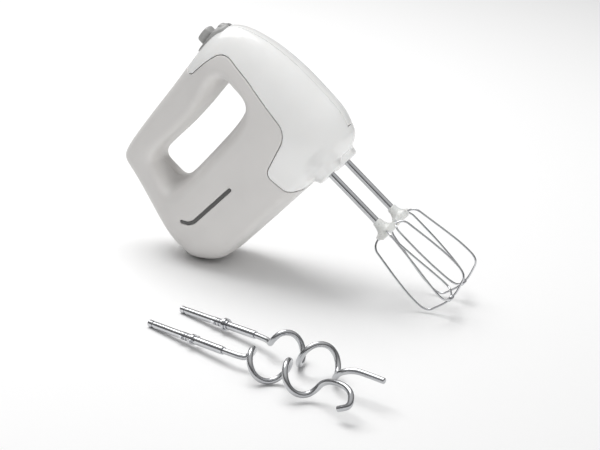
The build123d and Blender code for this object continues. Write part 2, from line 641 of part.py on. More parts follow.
def ejector_parts():
    """Rod and fork that the ejector button pushes down onto the whisk shafts."""
    dip = top_z(BUTTON_X) - EJECT_TRAVEL - 2.0
    bridge_z = COVER_Z + FRAME_T + EJECT_TRAVEL + 4.0
    rod = cyl(2.5, dip - bridge_z, (BUTTON_X, 0, bridge_z))
    fork = block((-4, BUTTON_X + 4), (-4, 4), (bridge_z - 3, bridge_z))
    fork += block((-4, 4), (-AXIS_Y - 3, AXIS_Y + 3), (bridge_z - 3, bridge_z))
    for side in (1, -1):
        fork += cyl(SHAFT_R - 0.4, bridge_z - 3 - FORK_Z, (0, side * AXIS_Y, FORK_Z))
    spring = tube(4.2, 3.2, 20, (BUTTON_X, 0, bridge_z))
    return {"ejector_rod": rod, "ejector_fork": fork, "ejector_spring": spring}


def electrics():
    """Switch, board and suppressor, by node name."""
    top = top_z(KNOB_X) - 12.0
    switch = block((KNOB_X - 16, KNOB_X + 7), (-7, 7), (top - 12, top))
    board = block((KNOB_X - 16, KNOB_X + 7), (-12, 12), (top - 13.6, top - 12))
    low = COVER_Z + FRAME_T + 14.0
    rear = HOLE_MID[0] + HOLE_LEN / 2 + WALL + 4.6
    can = fillet(block((rear, rear + 13), (9, 17), (low, low + 16)).edges(), 1.0)
    return {"speed_switch": switch, "circuit_board": board, "suppressor": can}


# ---- dough hooks: a shank, a collar and a helical wire, lying on the ground ----
KEY_X = 38.0              # cross key of a hook, from the shank end
KEY_REACH = SHAFT_R + 1.4
SHANK_R = SHAFT_R + 0.25    # hook shank behind its cross key
HOOK_STEPS = 8            # straight runs in one turn of the helix
HOOK_SOCKET = 6.0         # length of wire inside the shank
HOOK_START = 100.0        # where the helix leaves the axis
HOOK_RAMP = 0.45          # share of a turn in which the wire reaches full radius
# hand of the helix, its turn about the shank, shank end on the ground, heading and tail bends;
# a bend is given by its distance past the helix, its distance off the axis and its further turn
HOOKS = {
    "flanged": {"hand": -1, "turn": -126.0, "at": (-81.2, -135.4), "yaw": -22.0,
                "tail": [(8.0, 10.0, 48), (18.4, 5.7, 79), (33.4, 3.6, 76), (45.5, 2.4, 67)]},
    "eared": {"hand": 1, "turn": -61.0, "at": (-91.5, -175.2), "yaw": -22.5,
              "tail": [(7.8, 10.9, 72), (34.8, 8.7, 90), (42.7, 5.4, 322), (32.2, 10.6, 309)]},
}


def hook_route(hand, turn, tail):
    """Centre line of the hook wire along +X, from inside the shank to the tip."""
    points = [(HOOK_SHANK - HOOK_SOCKET, 0, 0), (HOOK_START - 2.0, 0, 0)]
    steps = ceil(HOOK_TURNS * HOOK_STEPS)
    for step in range(1, steps + 1):
        share = step / HOOK_STEPS
        r = HOOK_R * smooth(0.25 + 0.75 * share / HOOK_RAMP) if share < HOOK_RAMP else HOOK_R
        points.append((HOOK_START + HOOK_PITCH * share, r, hand * 360 * share + turn))
    last_x, _, last_angle = points[-1]
    for past, r, further in tail:
        points.append((last_x + past, r, last_angle + hand * further))
    return [(x, r * cos(radians(a)), r * sin(radians(a))) for x, r, a in points]


def hook_tilt(route):
    """Lift of the helix end, in degrees, at which shank end and helix both touch the ground."""
    low, high = 0.0, 30.0
    for _ in range(40):
        tilt = radians((low + high) / 2)
        wire_low = min(x * sin(tilt) + z * cos(tilt) for x, _, z in route) - HOOK_WIRE_D / 2
        if wire_low > -SHAFT_R * cos(tilt):
            high = degrees(tilt)
        else:
            low = degrees(tilt)
    return high


def hook_parts(name):
    """Shank, collar and wire of one hook, in their place on the ground, by node name."""
    spec = HOOKS[name]
    route = hook_route(spec["hand"], spec["turn"], spec["tail"])
    wire = bent_wire(route, HOOK_WIRE_D / 2)
    shank = cyl(SHAFT_R, HOOK_SHANK, (0, 0, 0), "X")
    shank = chamfer(shank.edges().filter_by(GeomType.CIRCLE).sort_by(Axis.X)[0], 0.8)
    shank -= tube(SHAFT_R + 1, SHAFT_R - 0.5, 2.0, (5.0, 0, 0), "X")
    shank += cyl(SHANK_R, HOOK_SHANK - KEY_X, (KEY_X, 0, 0), "X")
    shank -= cyl(HOOK_WIRE_D / 2, HOOK_SOCKET + 1, (HOOK_SHANK - HOOK_SOCKET, 0, 0), "X")
    for x in (KEY_X + 4.0, KEY_X + 7.0):
        shank -= tube(SHANK_R + 1, SHANK_R - 0.6, 1.2, (x, 0, 0), "X")
    shank += block((KEY_X, KEY_X + 3.6), (-KEY_REACH, KEY_REACH), (-0.9, 0.9))
    x_collar = KEY_X + 12.0
    if name == "flanged":
        collar = tube(SHANK_R + 2.0, SHANK_R, 2.4, (x_collar, 0, 0), "X")
        collar += tube(SHANK_R + 1.0, SHANK_R, 2.0, (x_collar + 2.4, 0, 0), "X")
    else:
        ears = block((x_collar, x_collar + 2.4), (-SHANK_R - 2.8, SHANK_R + 2.8), (-1.4, 1.4))
        collar = cyl(SHANK_R + 1.0, 2.4, (x_collar, 0, 0), "X") + ears
        collar -= cyl(SHANK_R, 2.4, (x_collar, 0, 0), "X")
    tilt = hook_tilt(route)
    where = Pos(*spec["at"], SHAFT_R * cos(radians(tilt))) * Rot(0, 0, spec["yaw"]) * Rot(0, -tilt, 0)
    parts = {"shank": shank, "collar": collar, "wire": wire}
    return {f"hook_{name}_{piece}": where * shape for piece, shape in parts.items()}


# ---- resting pose ----
def height(x, z, tip):
    """Height of a point of the upright mixer once it is tipped."""
    return x * cos(tip) + z * sin(tip)


def resting_tip():
    """Angle of the drive axes below the horizontal, with heel and whisks on the ground."""
    heel = [section_point(share) for share in range(0, 61)]
    reach = [(WHISK_R * r, WIRE_Z + (TIP_Z - WIRE_Z) * drop) for r, drop, _ in WHISK_ROUTE]
    low, high = radians(20), radians(60)
    for _ in range(40):
        tip = (low + high) / 2
        heel_low = min(height(x, z, tip) for x, z in heel)
        whisk_low = min(height(-r, z, tip) for r, z in reach) - WIRE_R
        if whisk_low > heel_low:
            low = tip
        else:
            high = tip
    return low, heel_low


def section_point(share):
    """Point on the rear outline between the underside and the widest section."""
    ends = Spline(*[(row[0][0], 0, row[0][1]) for row in SECTIONS[:6]])
    point = ends @ (share / 60)
    return point.X, point.Z


TIP, HEEL_LOW = resting_tip()


def tipped(shape):
    """Upright mixer piece, tipped onto the ground below its own origin."""
    return Pos(0, 0, -HEEL_LOW) * Rot(0, degrees(TIP) - 90, 0) * shape


# ---- all pieces ----
def mixer_parts():
    """Every piece of the mixer, upright, by node name."""
    halves, covers, strip, slot_cut = body_shells()
    parts = {}
    for name, side in SIDES.items():
        parts[f"body_{name}"] = halves[name]
        parts[f"nose_cover_{name}"] = covers[name]
        inlay = slot_solid(side, 20, 60, SLOT_W - 0.2)
        parts[f"slot_inlay_{name}"] = inlay & (body_solid(SLOT_RECESS) - body_solid(SLOT_DEPTH))
    parts["nose_strip"] = strip
    screws = []
    for x, z in PILLARS:
        shank = cyl(SCREW_D / 2, SCREW_SEAT + 12, (x, -12, z), "Y")
        head = cyl(SCREW_D, 2.2, (x, SCREW_SEAT, z), "Y")
        screws.append(shank + head)
    parts["body_screws"] = group(screws)
    bush_r = CORD_BORE / 2 + CORD_WALL
    rear_x = min(row[0][0] for row in SECTIONS)
    bush = tube(bush_r, CORD_BORE / 2, 12.0, (rear_x + 0.4, 0, CORD_Z), "X")
    parts["cord_bush"] = bush
    parts.update(controls())
    ejector = ejector_parts()
    ejector["ejector_rod"] -= parts["eject_button"]
    parts.update(ejector)
    parts.update(electrics())
    parts.update(gear_frame_parts())
    parts.update(motor_parts())
    parts.update(rotor_parts())
    for name, side in SIDES.items():
        parts[f"spindle_{name}"] = spindle(side)
        parts[f"worm_wheel_{name}"] = worm_wheel(side)
        wires = [whisk_wire(side, WHISK_TURN[name] + 90 * index) for index in range(4)]
        parts[f"whisk_shaft_{name}"] = whisk_shaft(side)
        parts[f"whisk_hub_{name}"] = whisk_hub(side, wires)
        parts[f"whisk_loop_{name}_1"] = group(wires[::2])
        parts[f"whisk_loop_{name}_2"] = group(wires[1::2])
        parts[f"whisk_tip_{name}"] = whisk_tip(side, wires)
    return parts


def main():
    """Build every node and write one STEP file for each."""
    os.makedirs("parts", exist_ok=True)
    nodes = {name: tipped(shape) for name, shape in mixer_parts().items()}
    for name in HOOKS:
        nodes.update(hook_parts(name))
    boxes = [shape.bounding_box() for shape in nodes.values()]
    x_mid = (min(b.min.X for b in boxes) + max(b.max.X for b in boxes)) / 2
    y_mid = (min(b.min.Y for b in boxes) + max(b.max.Y for b in boxes)) / 2
    to_origin = Pos(-x_mid, -y_mid, -min(b.min.Z for b in boxes))
    print("tip", degrees(TIP), "heel", HEEL_LOW, "shift", to_origin.position)
    for name, spec in HOOKS.items():
        print("tilt", name, hook_tilt(hook_route(spec["hand"], spec["turn"], spec["tail"])))
    for name, shape in nodes.items():
        export_step(to_origin * shape, f"parts/{name}.step")


main()
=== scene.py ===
"""Looks of a hand mixer with two whisks and two dough hooks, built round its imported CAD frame.

The mixer is described upright, as it is held in use: X forward to the nose, Y to its left, Z up to
the handle, in millimetres, with the origin between the two drive bores. Stance carries it into its
resting pose on the ground.
"""

import json
import logging
import math
from dataclasses import dataclass, field
from enum import Enum
from typing import Callable

import bpy
import numpy as np
from mathutils import Matrix, Vector

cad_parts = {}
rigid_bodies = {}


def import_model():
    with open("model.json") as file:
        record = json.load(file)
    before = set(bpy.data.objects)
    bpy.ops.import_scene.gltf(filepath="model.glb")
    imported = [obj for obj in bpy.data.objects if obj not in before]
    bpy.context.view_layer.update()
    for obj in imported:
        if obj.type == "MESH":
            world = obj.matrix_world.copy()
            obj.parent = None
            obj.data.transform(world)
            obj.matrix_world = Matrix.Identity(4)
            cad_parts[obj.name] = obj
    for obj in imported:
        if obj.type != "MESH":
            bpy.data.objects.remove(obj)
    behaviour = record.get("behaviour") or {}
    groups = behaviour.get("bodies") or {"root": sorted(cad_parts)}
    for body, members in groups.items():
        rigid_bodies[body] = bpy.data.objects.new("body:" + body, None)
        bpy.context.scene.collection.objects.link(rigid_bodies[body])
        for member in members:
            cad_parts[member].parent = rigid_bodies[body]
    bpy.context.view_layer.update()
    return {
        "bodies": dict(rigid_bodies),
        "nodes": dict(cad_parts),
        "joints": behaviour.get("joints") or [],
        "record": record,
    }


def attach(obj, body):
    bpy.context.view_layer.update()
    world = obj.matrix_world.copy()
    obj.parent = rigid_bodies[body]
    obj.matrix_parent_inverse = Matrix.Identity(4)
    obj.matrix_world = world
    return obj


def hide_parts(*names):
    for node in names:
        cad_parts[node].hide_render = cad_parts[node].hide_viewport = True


log = logging.getLogger("hand_mixer")
MM = 0.001


# ---------------------------------------------------------------- colour and nodes


def linear(code: str, alpha: float = 1.0) -> tuple[float, float, float, float]:
    """Turn an sRGB hex colour into linear light.

    Args:
        code: Six hex digits, such as "D5D4D1".
        alpha: Opacity, kept as it is.

    Returns:
        Red, green, blue and alpha for a shader socket.
    """
    levels = [int(code[i : i + 2], 16) / 255 for i in (0, 2, 4)]
    parts = [v / 12.92 if v <= 0.04045 else ((v + 0.055) / 1.055) ** 2.4 for v in levels]
    return (parts[0], parts[1], parts[2], alpha)


def add_node(tree: bpy.types.NodeTree, kind: str, settings: dict | None = None,
             values: dict | None = None, links: dict | None = None) -> bpy.types.Node:
    """Add one shader node with its settings, socket values and incoming links.

    Args:
        tree: Node tree that receives the node.
        kind: Blender's name of the node type.
        settings: Attributes to set on the node.
        values: Input socket to constant value.
        links: Input socket to the output socket that feeds it.

    Returns:
        The new node.
    """
    node = tree.nodes.new(kind)
    for name, value in (settings or {}).items():
        setattr(node, name, value)
    for name, value in (values or {}).items():
        node.inputs[name].default_value = value
    for name, source in (links or {}).items():
        tree.links.new(source, node.inputs[name])
    return node


@dataclass(frozen=True)
class Finish:
    """A material: what it is made of and how its surface was made.

    The surface has three scales of detail: a slow drift of tone, a fine grain in the relief, and
    small changes of gloss from handling.
    """

    name: str
    colour: str
    tone: str
    roughness: float
    metallic: float = 0.0
    ior: float = 1.5
    grain_mm: float = 0.5
    grain_depth_mm: float = 0.01
    drift_mm: float = 40.0
    gloss_change: float = 0.05
    coat: float = 0.0
    coat_roughness: float = 0.05
    subsurface_mm: float = 0.0
    transmission: float = 0.0
    sheet_mm: float = 0.0
    sheet_axis: tuple[float, float, float] = (1.0, 0.0, 0.0)
    line_colour: str = "000000"

    def build(self) -> bpy.types.Material:
        """Make the material.

        Returns:
            A node-based material that can be given to any mesh or curve.
        """
        material = bpy.data.materials.new(self.name)
        material.use_nodes = True
        tree = material.node_tree
        tree.nodes.clear()
        place = add_node(tree, "ShaderNodeTexCoord").outputs["Object"]
        drift = add_node(tree, "ShaderNodeTexNoise",
                         values={"Scale": 1 / (self.drift_mm * MM), "Detail": 3.0, "Roughness": 0.5},
                         links={"Vector": place}).outputs["Fac"]
        grain = add_node(tree, "ShaderNodeTexNoise",
                         values={"Scale": 1 / (self.grain_mm * MM), "Detail": 2.0, "Roughness": 0.6},
                         links={"Vector": place}).outputs["Fac"]
        ramp = add_node(tree, "ShaderNodeValToRGB", links={"Fac": drift})
        ramp.color_ramp.elements[0].position = 0.35
        ramp.color_ramp.elements[0].color = linear(self.colour)
        ramp.color_ramp.elements[1].position = 0.65
        ramp.color_ramp.elements[1].color = linear(self.tone)
        colour = ramp.outputs["Color"]
        if self.sheet_mm > 0:
            colour = self.add_sheets(tree, place, colour)
        gloss = add_node(tree, "ShaderNodeMapRange",
                         values={"From Min": 0.3, "From Max": 0.7,
                                 "To Min": max(self.roughness - self.gloss_change, 0.02),
                                 "To Max": self.roughness + self.gloss_change},
                         links={"Value": grain}).outputs["Result"]
        relief = add_node(tree, "ShaderNodeBump",
                          values={"Strength": 1.0, "Distance": self.grain_depth_mm * MM},
                          links={"Height": grain}).outputs["Normal"]
        shader = add_node(tree, "ShaderNodeBsdfPrincipled",
                          values={"Metallic": self.metallic, "IOR": self.ior, "Coat Weight": self.coat,
                                  "Coat Roughness": self.coat_roughness,
                                  "Transmission Weight": self.transmission},
                          links={"Base Color": colour, "Roughness": gloss, "Normal": relief})
        if self.subsurface_mm > 0:
            shader.inputs["Subsurface Weight"].default_value = 0.35
            shader.inputs["Subsurface Radius"].default_value = (1.0, 0.95, 0.9)
            shader.inputs["Subsurface Scale"].default_value = self.subsurface_mm * MM
        add_node(tree, "ShaderNodeOutputMaterial", links={"Surface": shader.outputs["BSDF"]})
        return material

    def add_sheets(self, tree: bpy.types.NodeTree, place: bpy.types.NodeSocket,
                   colour: bpy.types.NodeSocket) -> bpy.types.NodeSocket:
        """Draw fine lines across the sheet axis, as on stacked sheets or wound wire.

        Args:
            tree: Node tree of the material.
            place: Object coordinates.
            colour: Colour under the lines.

        Returns:
            Colour with the lines in it.
        """
        along = add_node(tree, "ShaderNodeVectorMath", settings={"operation": "DOT_PRODUCT"},
                         links={0: place})
        along.inputs[1].default_value = self.sheet_axis
        wave = add_node(tree, "ShaderNodeMath", settings={"operation": "PINGPONG"},
                        links={0: along.outputs["Value"]})
        wave.inputs[1].default_value = self.sheet_mm * MM / 2
        line = add_node(tree, "ShaderNodeMapRange",
                        values={"From Min": 0.0, "From Max": self.sheet_mm * MM / 6,
                                "To Min": 1.0, "To Max": 0.0},
                        links={"Value": wave.outputs["Value"]}).outputs["Result"]
        mix = add_node(tree, "ShaderNodeMix", settings={"data_type": "RGBA"}, links={"Factor": line})
        tree.links.new(colour, mix.inputs["A"])
        mix.inputs["B"].default_value = linear(self.line_colour)
        return mix.outputs["Result"]


class Finishes(Enum):
    """Every material of the mixer, named for what it is and how it was made."""

    # ABS moulded in a spark-eroded tool: a fine even grain that spreads the highlight
    GREY_ABS = Finish("abs_spark_grained_grey", "D5D3D1", "D9D7D5", 0.42, grain_mm=0.6,
                      grain_depth_mm=0.018, gloss_change=0.04)
    # ABS moulded in a polished tool: soft gloss with a faint orange peel
    WHITE_ABS = Finish("abs_polished_white", "ECECEB", "EFEFEE", 0.24, grain_mm=3.5,
                       grain_depth_mm=0.012, gloss_change=0.03, coat=0.25, subsurface_mm=1.2)
    # ABS of the controls, moulded satin in a darker grey
    CONTROL_ABS = Finish("abs_satin_mid_grey", "A6A6A5", "ABABAA", 0.36, grain_mm=0.5,
                         grain_depth_mm=0.012)
    # polished dark acrylic in the side slots, which mirrors the room
    SMOKED_ACRYLIC = Finish("acrylic_polished_smoke", "3A3A39", "444443", 0.12, ior=1.49, coat=0.6,
                            grain_mm=2.0, grain_depth_mm=0.004, gloss_change=0.02)
    # nickel-chrome plating over drawn steel: bright, with faint draw marks
    CHROME = Finish("steel_chrome_plated", "D2D3D5", "C6C7CA", 0.13, metallic=1.0, grain_mm=1.2,
                    grain_depth_mm=0.003, gloss_change=0.04, drift_mm=15.0)
    # stainless wire, drawn and tumbled: a little softer than plating
    STAINLESS = Finish("steel_stainless_tumbled", "C9CACC", "BCBDC0", 0.2, metallic=1.0, grain_mm=0.8,
                       grain_depth_mm=0.006, gloss_change=0.06, drift_mm=12.0)
    # natural polyamide, which lets some light in
    NYLON = Finish("polyamide_natural_moulded", "F0F1EF", "E9EAE7", 0.3, grain_mm=1.5,
                   grain_depth_mm=0.01, subsurface_mm=2.5, transmission=0.15)
    EPDM = Finish("epdm_moulded_black", "1B1B1B", "222222", 0.6, grain_mm=0.8, grain_depth_mm=0.03)
    ZINC_STEEL = Finish("steel_zinc_plated", "B9BBBE", "A8ABB0", 0.3, metallic=1.0, grain_mm=0.7,
                        grain_depth_mm=0.008)
    BLACK_NYLON = Finish("polyamide_moulded_black", "232323", "2A2A2A", 0.5, grain_mm=0.6,
                         grain_depth_mm=0.02)
    GLASS_NYLON = Finish("polyamide_glass_filled", "3A3A3B", "444446", 0.55, grain_mm=0.9,
                         grain_depth_mm=0.03)
    FIBREGLASS = Finish("fibreglass_board_lacquered", "1E5A32", "23683A", 0.3, grain_mm=0.5,
                        grain_depth_mm=0.01, sheet_mm=1.2, line_colour="184A29")
    FILM_CASE = Finish("polyester_film_case", "C9A23A", "D1AC48", 0.3, grain_mm=1.0)
    BRONZE = Finish("bronze_sintered", "A8794A", "8F6A45", 0.42, metallic=1.0, grain_mm=0.25,
                    grain_depth_mm=0.02)
    # enamelled winding wire laid side by side
    COPPER_WIRE = Finish("copper_enamelled_wound", "B5673C", "A4572F", 0.35, metallic=1.0, sheet_mm=0.7,
                         sheet_axis=(0.0, 1.0, 0.0), line_colour="3B1B10", coat=0.4)
    # silicon-steel sheets, stamped and stacked along the shaft
    LAMINATED_STEEL = Finish("steel_laminated_stack", "6B6D70", "5C5E61", 0.45, metallic=1.0,
                             sheet_mm=0.8, sheet_axis=(0.604, 0.0, 0.797), line_colour="202122")
    GROUND_STEEL = Finish("steel_ground", "BFC1C4", "B1B3B6", 0.24, metallic=1.0, grain_mm=0.4,
                          grain_depth_mm=0.005)
    CARBON = Finish("carbon_pressed", "18181A", "222224", 0.55, grain_mm=0.3, grain_depth_mm=0.02)
    ACETAL = Finish("acetal_moulded", "E6E1D2", "DED8C8", 0.38, grain_mm=0.8, subsurface_mm=1.0)
    SPRING_STEEL = Finish("steel_spring_drawn", "9C9EA2", "8A8C90", 0.3, metallic=1.0, sheet_mm=1.0,
                          sheet_axis=(-0.797, 0.0, 0.604), line_colour="2A2B2D")


SLOT_FINISHES: dict[str, Finishes] = {
    "grey_body": Finishes.GREY_ABS, "white_cover": Finishes.WHITE_ABS,
    "control_grey": Finishes.CONTROL_ABS, "slot_dark": Finishes.SMOKED_ACRYLIC,
    "black_rubber": Finishes.EPDM, "steel_screw": Finishes.ZINC_STEEL,
    "dark_plastic": Finishes.BLACK_NYLON, "board": Finishes.FIBREGLASS,
    "film_case": Finishes.FILM_CASE, "gear_frame_nylon": Finishes.GLASS_NYLON,
    "bronze": Finishes.BRONZE, "copper": Finishes.COPPER_WIRE,
    "lamination": Finishes.LAMINATED_STEEL, "shaft_steel": Finishes.GROUND_STEEL,
    "carbon": Finishes.CARBON, "wheel_acetal": Finishes.ACETAL, "whisk_chrome": Finishes.CHROME,
    "hub_nylon": Finishes.NYLON, "spring_steel": Finishes.SPRING_STEEL,
    "fan_plastic": Finishes.BLACK_NYLON,
}


class Paintbox:
    """Makes each material once and gives it to pieces."""

    def __init__(self) -> None:
        """Start with no material made."""
        self.made: dict[Finishes, bpy.types.Material] = {}

    def give(self, piece: bpy.types.Object, finish: Finishes) -> None:
        """Put one finish on the whole of a piece.

        Args:
            piece: Mesh or curve object.
            finish: Which material it gets.
        """
        if finish not in self.made:
            self.made[finish] = finish.value.build()
        piece.data.materials.clear()
        piece.data.materials.append(self.made[finish])

    def dress_frame(self, frame: dict) -> None:
        """Give every carried-over CAD node the finish of its record slot.
        """
        for row in frame["record"]["subparts"]:
            node = frame["nodes"][row["node"]]
            self.give(node, SLOT_FINISHES[row["material_slot"]])
            for polygon in node.data.polygons:
                polygon.use_smooth = True
            node.data.set_sharp_from_angle(angle=math.radians(32))


# ---------------------------------------------------------------- stance


@dataclass
class Stance:
    """Where the upright mixer stands in the row's frame, read from the joints of the drive."""

    origin: Vector
    forward: Vector
    left: Vector
    up: Vector

    @classmethod
    def from_frame(cls, frame: dict) -> "Stance":
        """Work the stance out from the spindles and the rotor.


        Returns:
            The stance.
        """
        joints = {joint["name"]: joint for joint in frame["joints"]}
        ends = [Vector(joints[f"drive_{side}_spin"]["pos_m"]) for side in ("left", "right")]
        forward = Vector(joints["rotor_spin"]["axis"]).normalized()
        up = Vector(joints["drive_left_spin"]["axis"]).normalized()
        return cls((ends[0] + ends[1]) / 2, forward, up.cross(forward), up)

    def matrix(self) -> Matrix:
        """Matrix from upright millimetres to row metres."""
        turn = Matrix((self.forward, self.left, self.up)).transposed().to_4x4()
        return Matrix.Translation(self.origin) @ turn @ Matrix.Scale(MM, 4)

    def point(self, x: float, y: float, z: float) -> Vector:
        """Row place of an upright point in millimetres."""
        return self.matrix() @ Vector((x, y, z))

    def direction(self, x: float, y: float, z: float) -> Vector:
        """Row direction of an upright direction."""
        return (self.forward * x + self.left * y + self.up * z).normalized()


# ---------------------------------------------------------------- shapes as fields


def round_min(a: np.ndarray, b: np.ndarray, radius: float) -> np.ndarray:
    """Overlap of two solids, with its edge rounded.

    Args:
        a: Depth inside the first solid, in millimetres.
        b: Depth inside the second solid.
        radius: How far from the edge the rounding starts.

    Returns:
        Depth inside both.
    """
    near = np.maximum(radius - np.abs(a - b), 0.0) / radius
    return np.minimum(a, b) - near * near * radius / 4


def round_max(a: np.ndarray, b: np.ndarray, radius: float) -> np.ndarray:
    """Union of two solids, with a fillet between them, as round_min()."""
    return -round_min(-a, -b, radius)


def ease(t: np.ndarray) -> np.ndarray:
    """Step from 0 to 1 with level ends."""
    t = np.clip(t, 0.0, 1.0)
    return t * t * (3 - 2 * t)


class Spline:
    """Smooth curve through values at rising knots, straight at its ends."""

    def __init__(self, knots: np.ndarray, values: list[float]) -> None:
        """Solve for the bends at the knots.

        Args:
            knots: Rising positions.
            values: Value at each knot.
        """
        self.knots = np.asarray(knots, float)
        self.values = np.asarray(values, float)
        count = len(self.knots)
        gaps = np.diff(self.knots)
        slopes = np.diff(self.values) / gaps
        system = np.eye(count)
        right = np.zeros(count)
        for i in range(1, count - 1):
            system[i, i - 1 : i + 2] = gaps[i - 1], 2 * (gaps[i - 1] + gaps[i]), gaps[i]
            right[i] = 6 * (slopes[i] - slopes[i - 1])
        self.bends = np.linalg.solve(system, right)

    def __call__(self, at: np.ndarray) -> np.ndarray:
        """Value of the curve at each position."""
        i = np.clip(np.searchsorted(self.knots, at) - 1, 0, len(self.knots) - 2)
        gap = self.knots[i + 1] - self.knots[i]
        before, after = at - self.knots[i], self.knots[i + 1] - at
        bent = (self.bends[i] * after**3 + self.bends[i + 1] * before**3) / (6 * gap)
        low = (self.values[i] / gap - self.bends[i] * gap / 6) * after
        high = (self.values[i + 1] / gap - self.bends[i + 1] * gap / 6) * before
        return bent + low + high


class SideMap:
    """Values over the side view, read smoothly between the points of a fine square net."""

    def __init__(self, x_range: tuple[float, float], z_range: tuple[float, float], step: float,
                 make: Callable) -> None:
        """Work the values out once.

        Args:
            x_range: Ends of the map along the mixer.
            z_range: Ends of the map in height.
            step: Spacing of the net, in millimetres.
            make: Function of x and z that gives the values.
        """
        self.start = np.array([x_range[0], z_range[0]])
        self.step = step
        x = np.arange(x_range[0], x_range[1] + step, step)[:, None]
        z = np.arange(z_range[0], z_range[1] + step, step)[None, :]
        self.values = make(x, z)

    @staticmethod
    def weights(t: np.ndarray) -> tuple[np.ndarray, ...]:
        """Shares of the four net points round a place between the middle two."""
        return (((-0.5 * t + 1.0) * t - 0.5) * t, (1.5 * t - 2.5) * t * t + 1.0,
                ((-1.5 * t + 2.0) * t + 0.5) * t, (0.5 * t - 0.5) * t * t)

    def __call__(self, x: np.ndarray, z: np.ndarray) -> np.ndarray:
        """Value at each place."""
        x, z = np.broadcast_arrays(x, z)
        u = (x - self.start[0]) / self.step
        v = (z - self.start[1]) / self.step
        i = np.clip(u.astype(int), 1, self.values.shape[0] - 3)
        j = np.clip(v.astype(int), 1, self.values.shape[1] - 3)
        along = self.weights(np.clip(u - i, 0.0, 1.0))
        upward = self.weights(np.clip(v - j, 0.0, 1.0))
        total = 0.0
        for di in range(4):
            row = 0.0
            for dj in range(4):
                row = row + upward[dj] * self.values[i + di - 1, j + dj - 1]
            total = total + along[di] * row
        return total


def rounded_path(corners: list[tuple[float, float]], radii: list[float]) -> np.ndarray:
    """Path along straight runs with an arc at each inner corner.

    Args:
        corners: Corner points.
        radii: Radius of each inner corner, in order.

    Returns:
        Points along the path.
    """
    path = [np.array(corners[0], float)]
    for before, at, after, radius in zip(corners, corners[1:], corners[2:], radii):
        before, at, after = (np.array(p, float) for p in (before, at, after))
        run_in, run_out = at - before, after - at
        run_in /= np.linalg.norm(run_in)
        run_out /= np.linalg.norm(run_out)
        bend = math.acos(float(np.clip(run_in @ run_out, -1, 1)))
        side = math.copysign(1.0, run_in[0] * run_out[1] - run_in[1] * run_out[0])
        start = at - run_in * radius * math.tan(bend / 2)
        centre = start + side * radius * np.array([-run_in[1], run_in[0]])
        steps = max(3, math.ceil(bend / math.radians(5)))
        for k in range(steps + 1):
            turn = side * bend * k / steps
            spoke = start - centre
            path.append(centre + np.array([spoke[0] * math.cos(turn) - spoke[1] * math.sin(turn),
                                           spoke[0] * math.sin(turn) + spoke[1] * math.cos(turn)]))
    path.append(np.array(corners[-1], float))
    return np.array(path)


def path_distance(path: np.ndarray, x: np.ndarray, z: np.ndarray) -> np.ndarray:
    """Distance from a path to each place of the side view.

    Args:
        path: Points of the path.
        x: Places along the mixer.
        z: Heights of the places.

    Returns:
        Distance in millimetres.
    """
    x, z = np.broadcast_arrays(x, z)
    best = np.full(x.shape, 1e6)
    for start, end in zip(path, path[1:]):
        run = end - start
        share = ((x - start[0]) * run[0] + (z - start[1]) * run[1]) / max(run @ run, 1e-9)
        share = np.clip(share, 0.0, 1.0)
        away = (x - start[0] - share * run[0]) ** 2 + (z - start[1] - share * run[1]) ** 2
        best = np.minimum(best, away)
    return np.sqrt(best)


def within(path: np.ndarray, x: np.ndarray, z: np.ndarray) -> np.ndarray:
    """Whether each place of the side view is inside a closed path."""
    x, z = np.broadcast_arrays(x, z)
    inside = np.zeros(x.shape, bool)
    for start, end in zip(path, np.roll(path, -1, axis=0)):
        if start[1] == end[1]:
            continue
        spans = (start[1] > z) != (end[1] > z)
        cross = start[0] + (z - start[1]) * (end[0] - start[0]) / (end[1] - start[1])
        inside ^= spans & (x < cross)
    return inside


# ---------------------------------------------------------------- meshes from fields


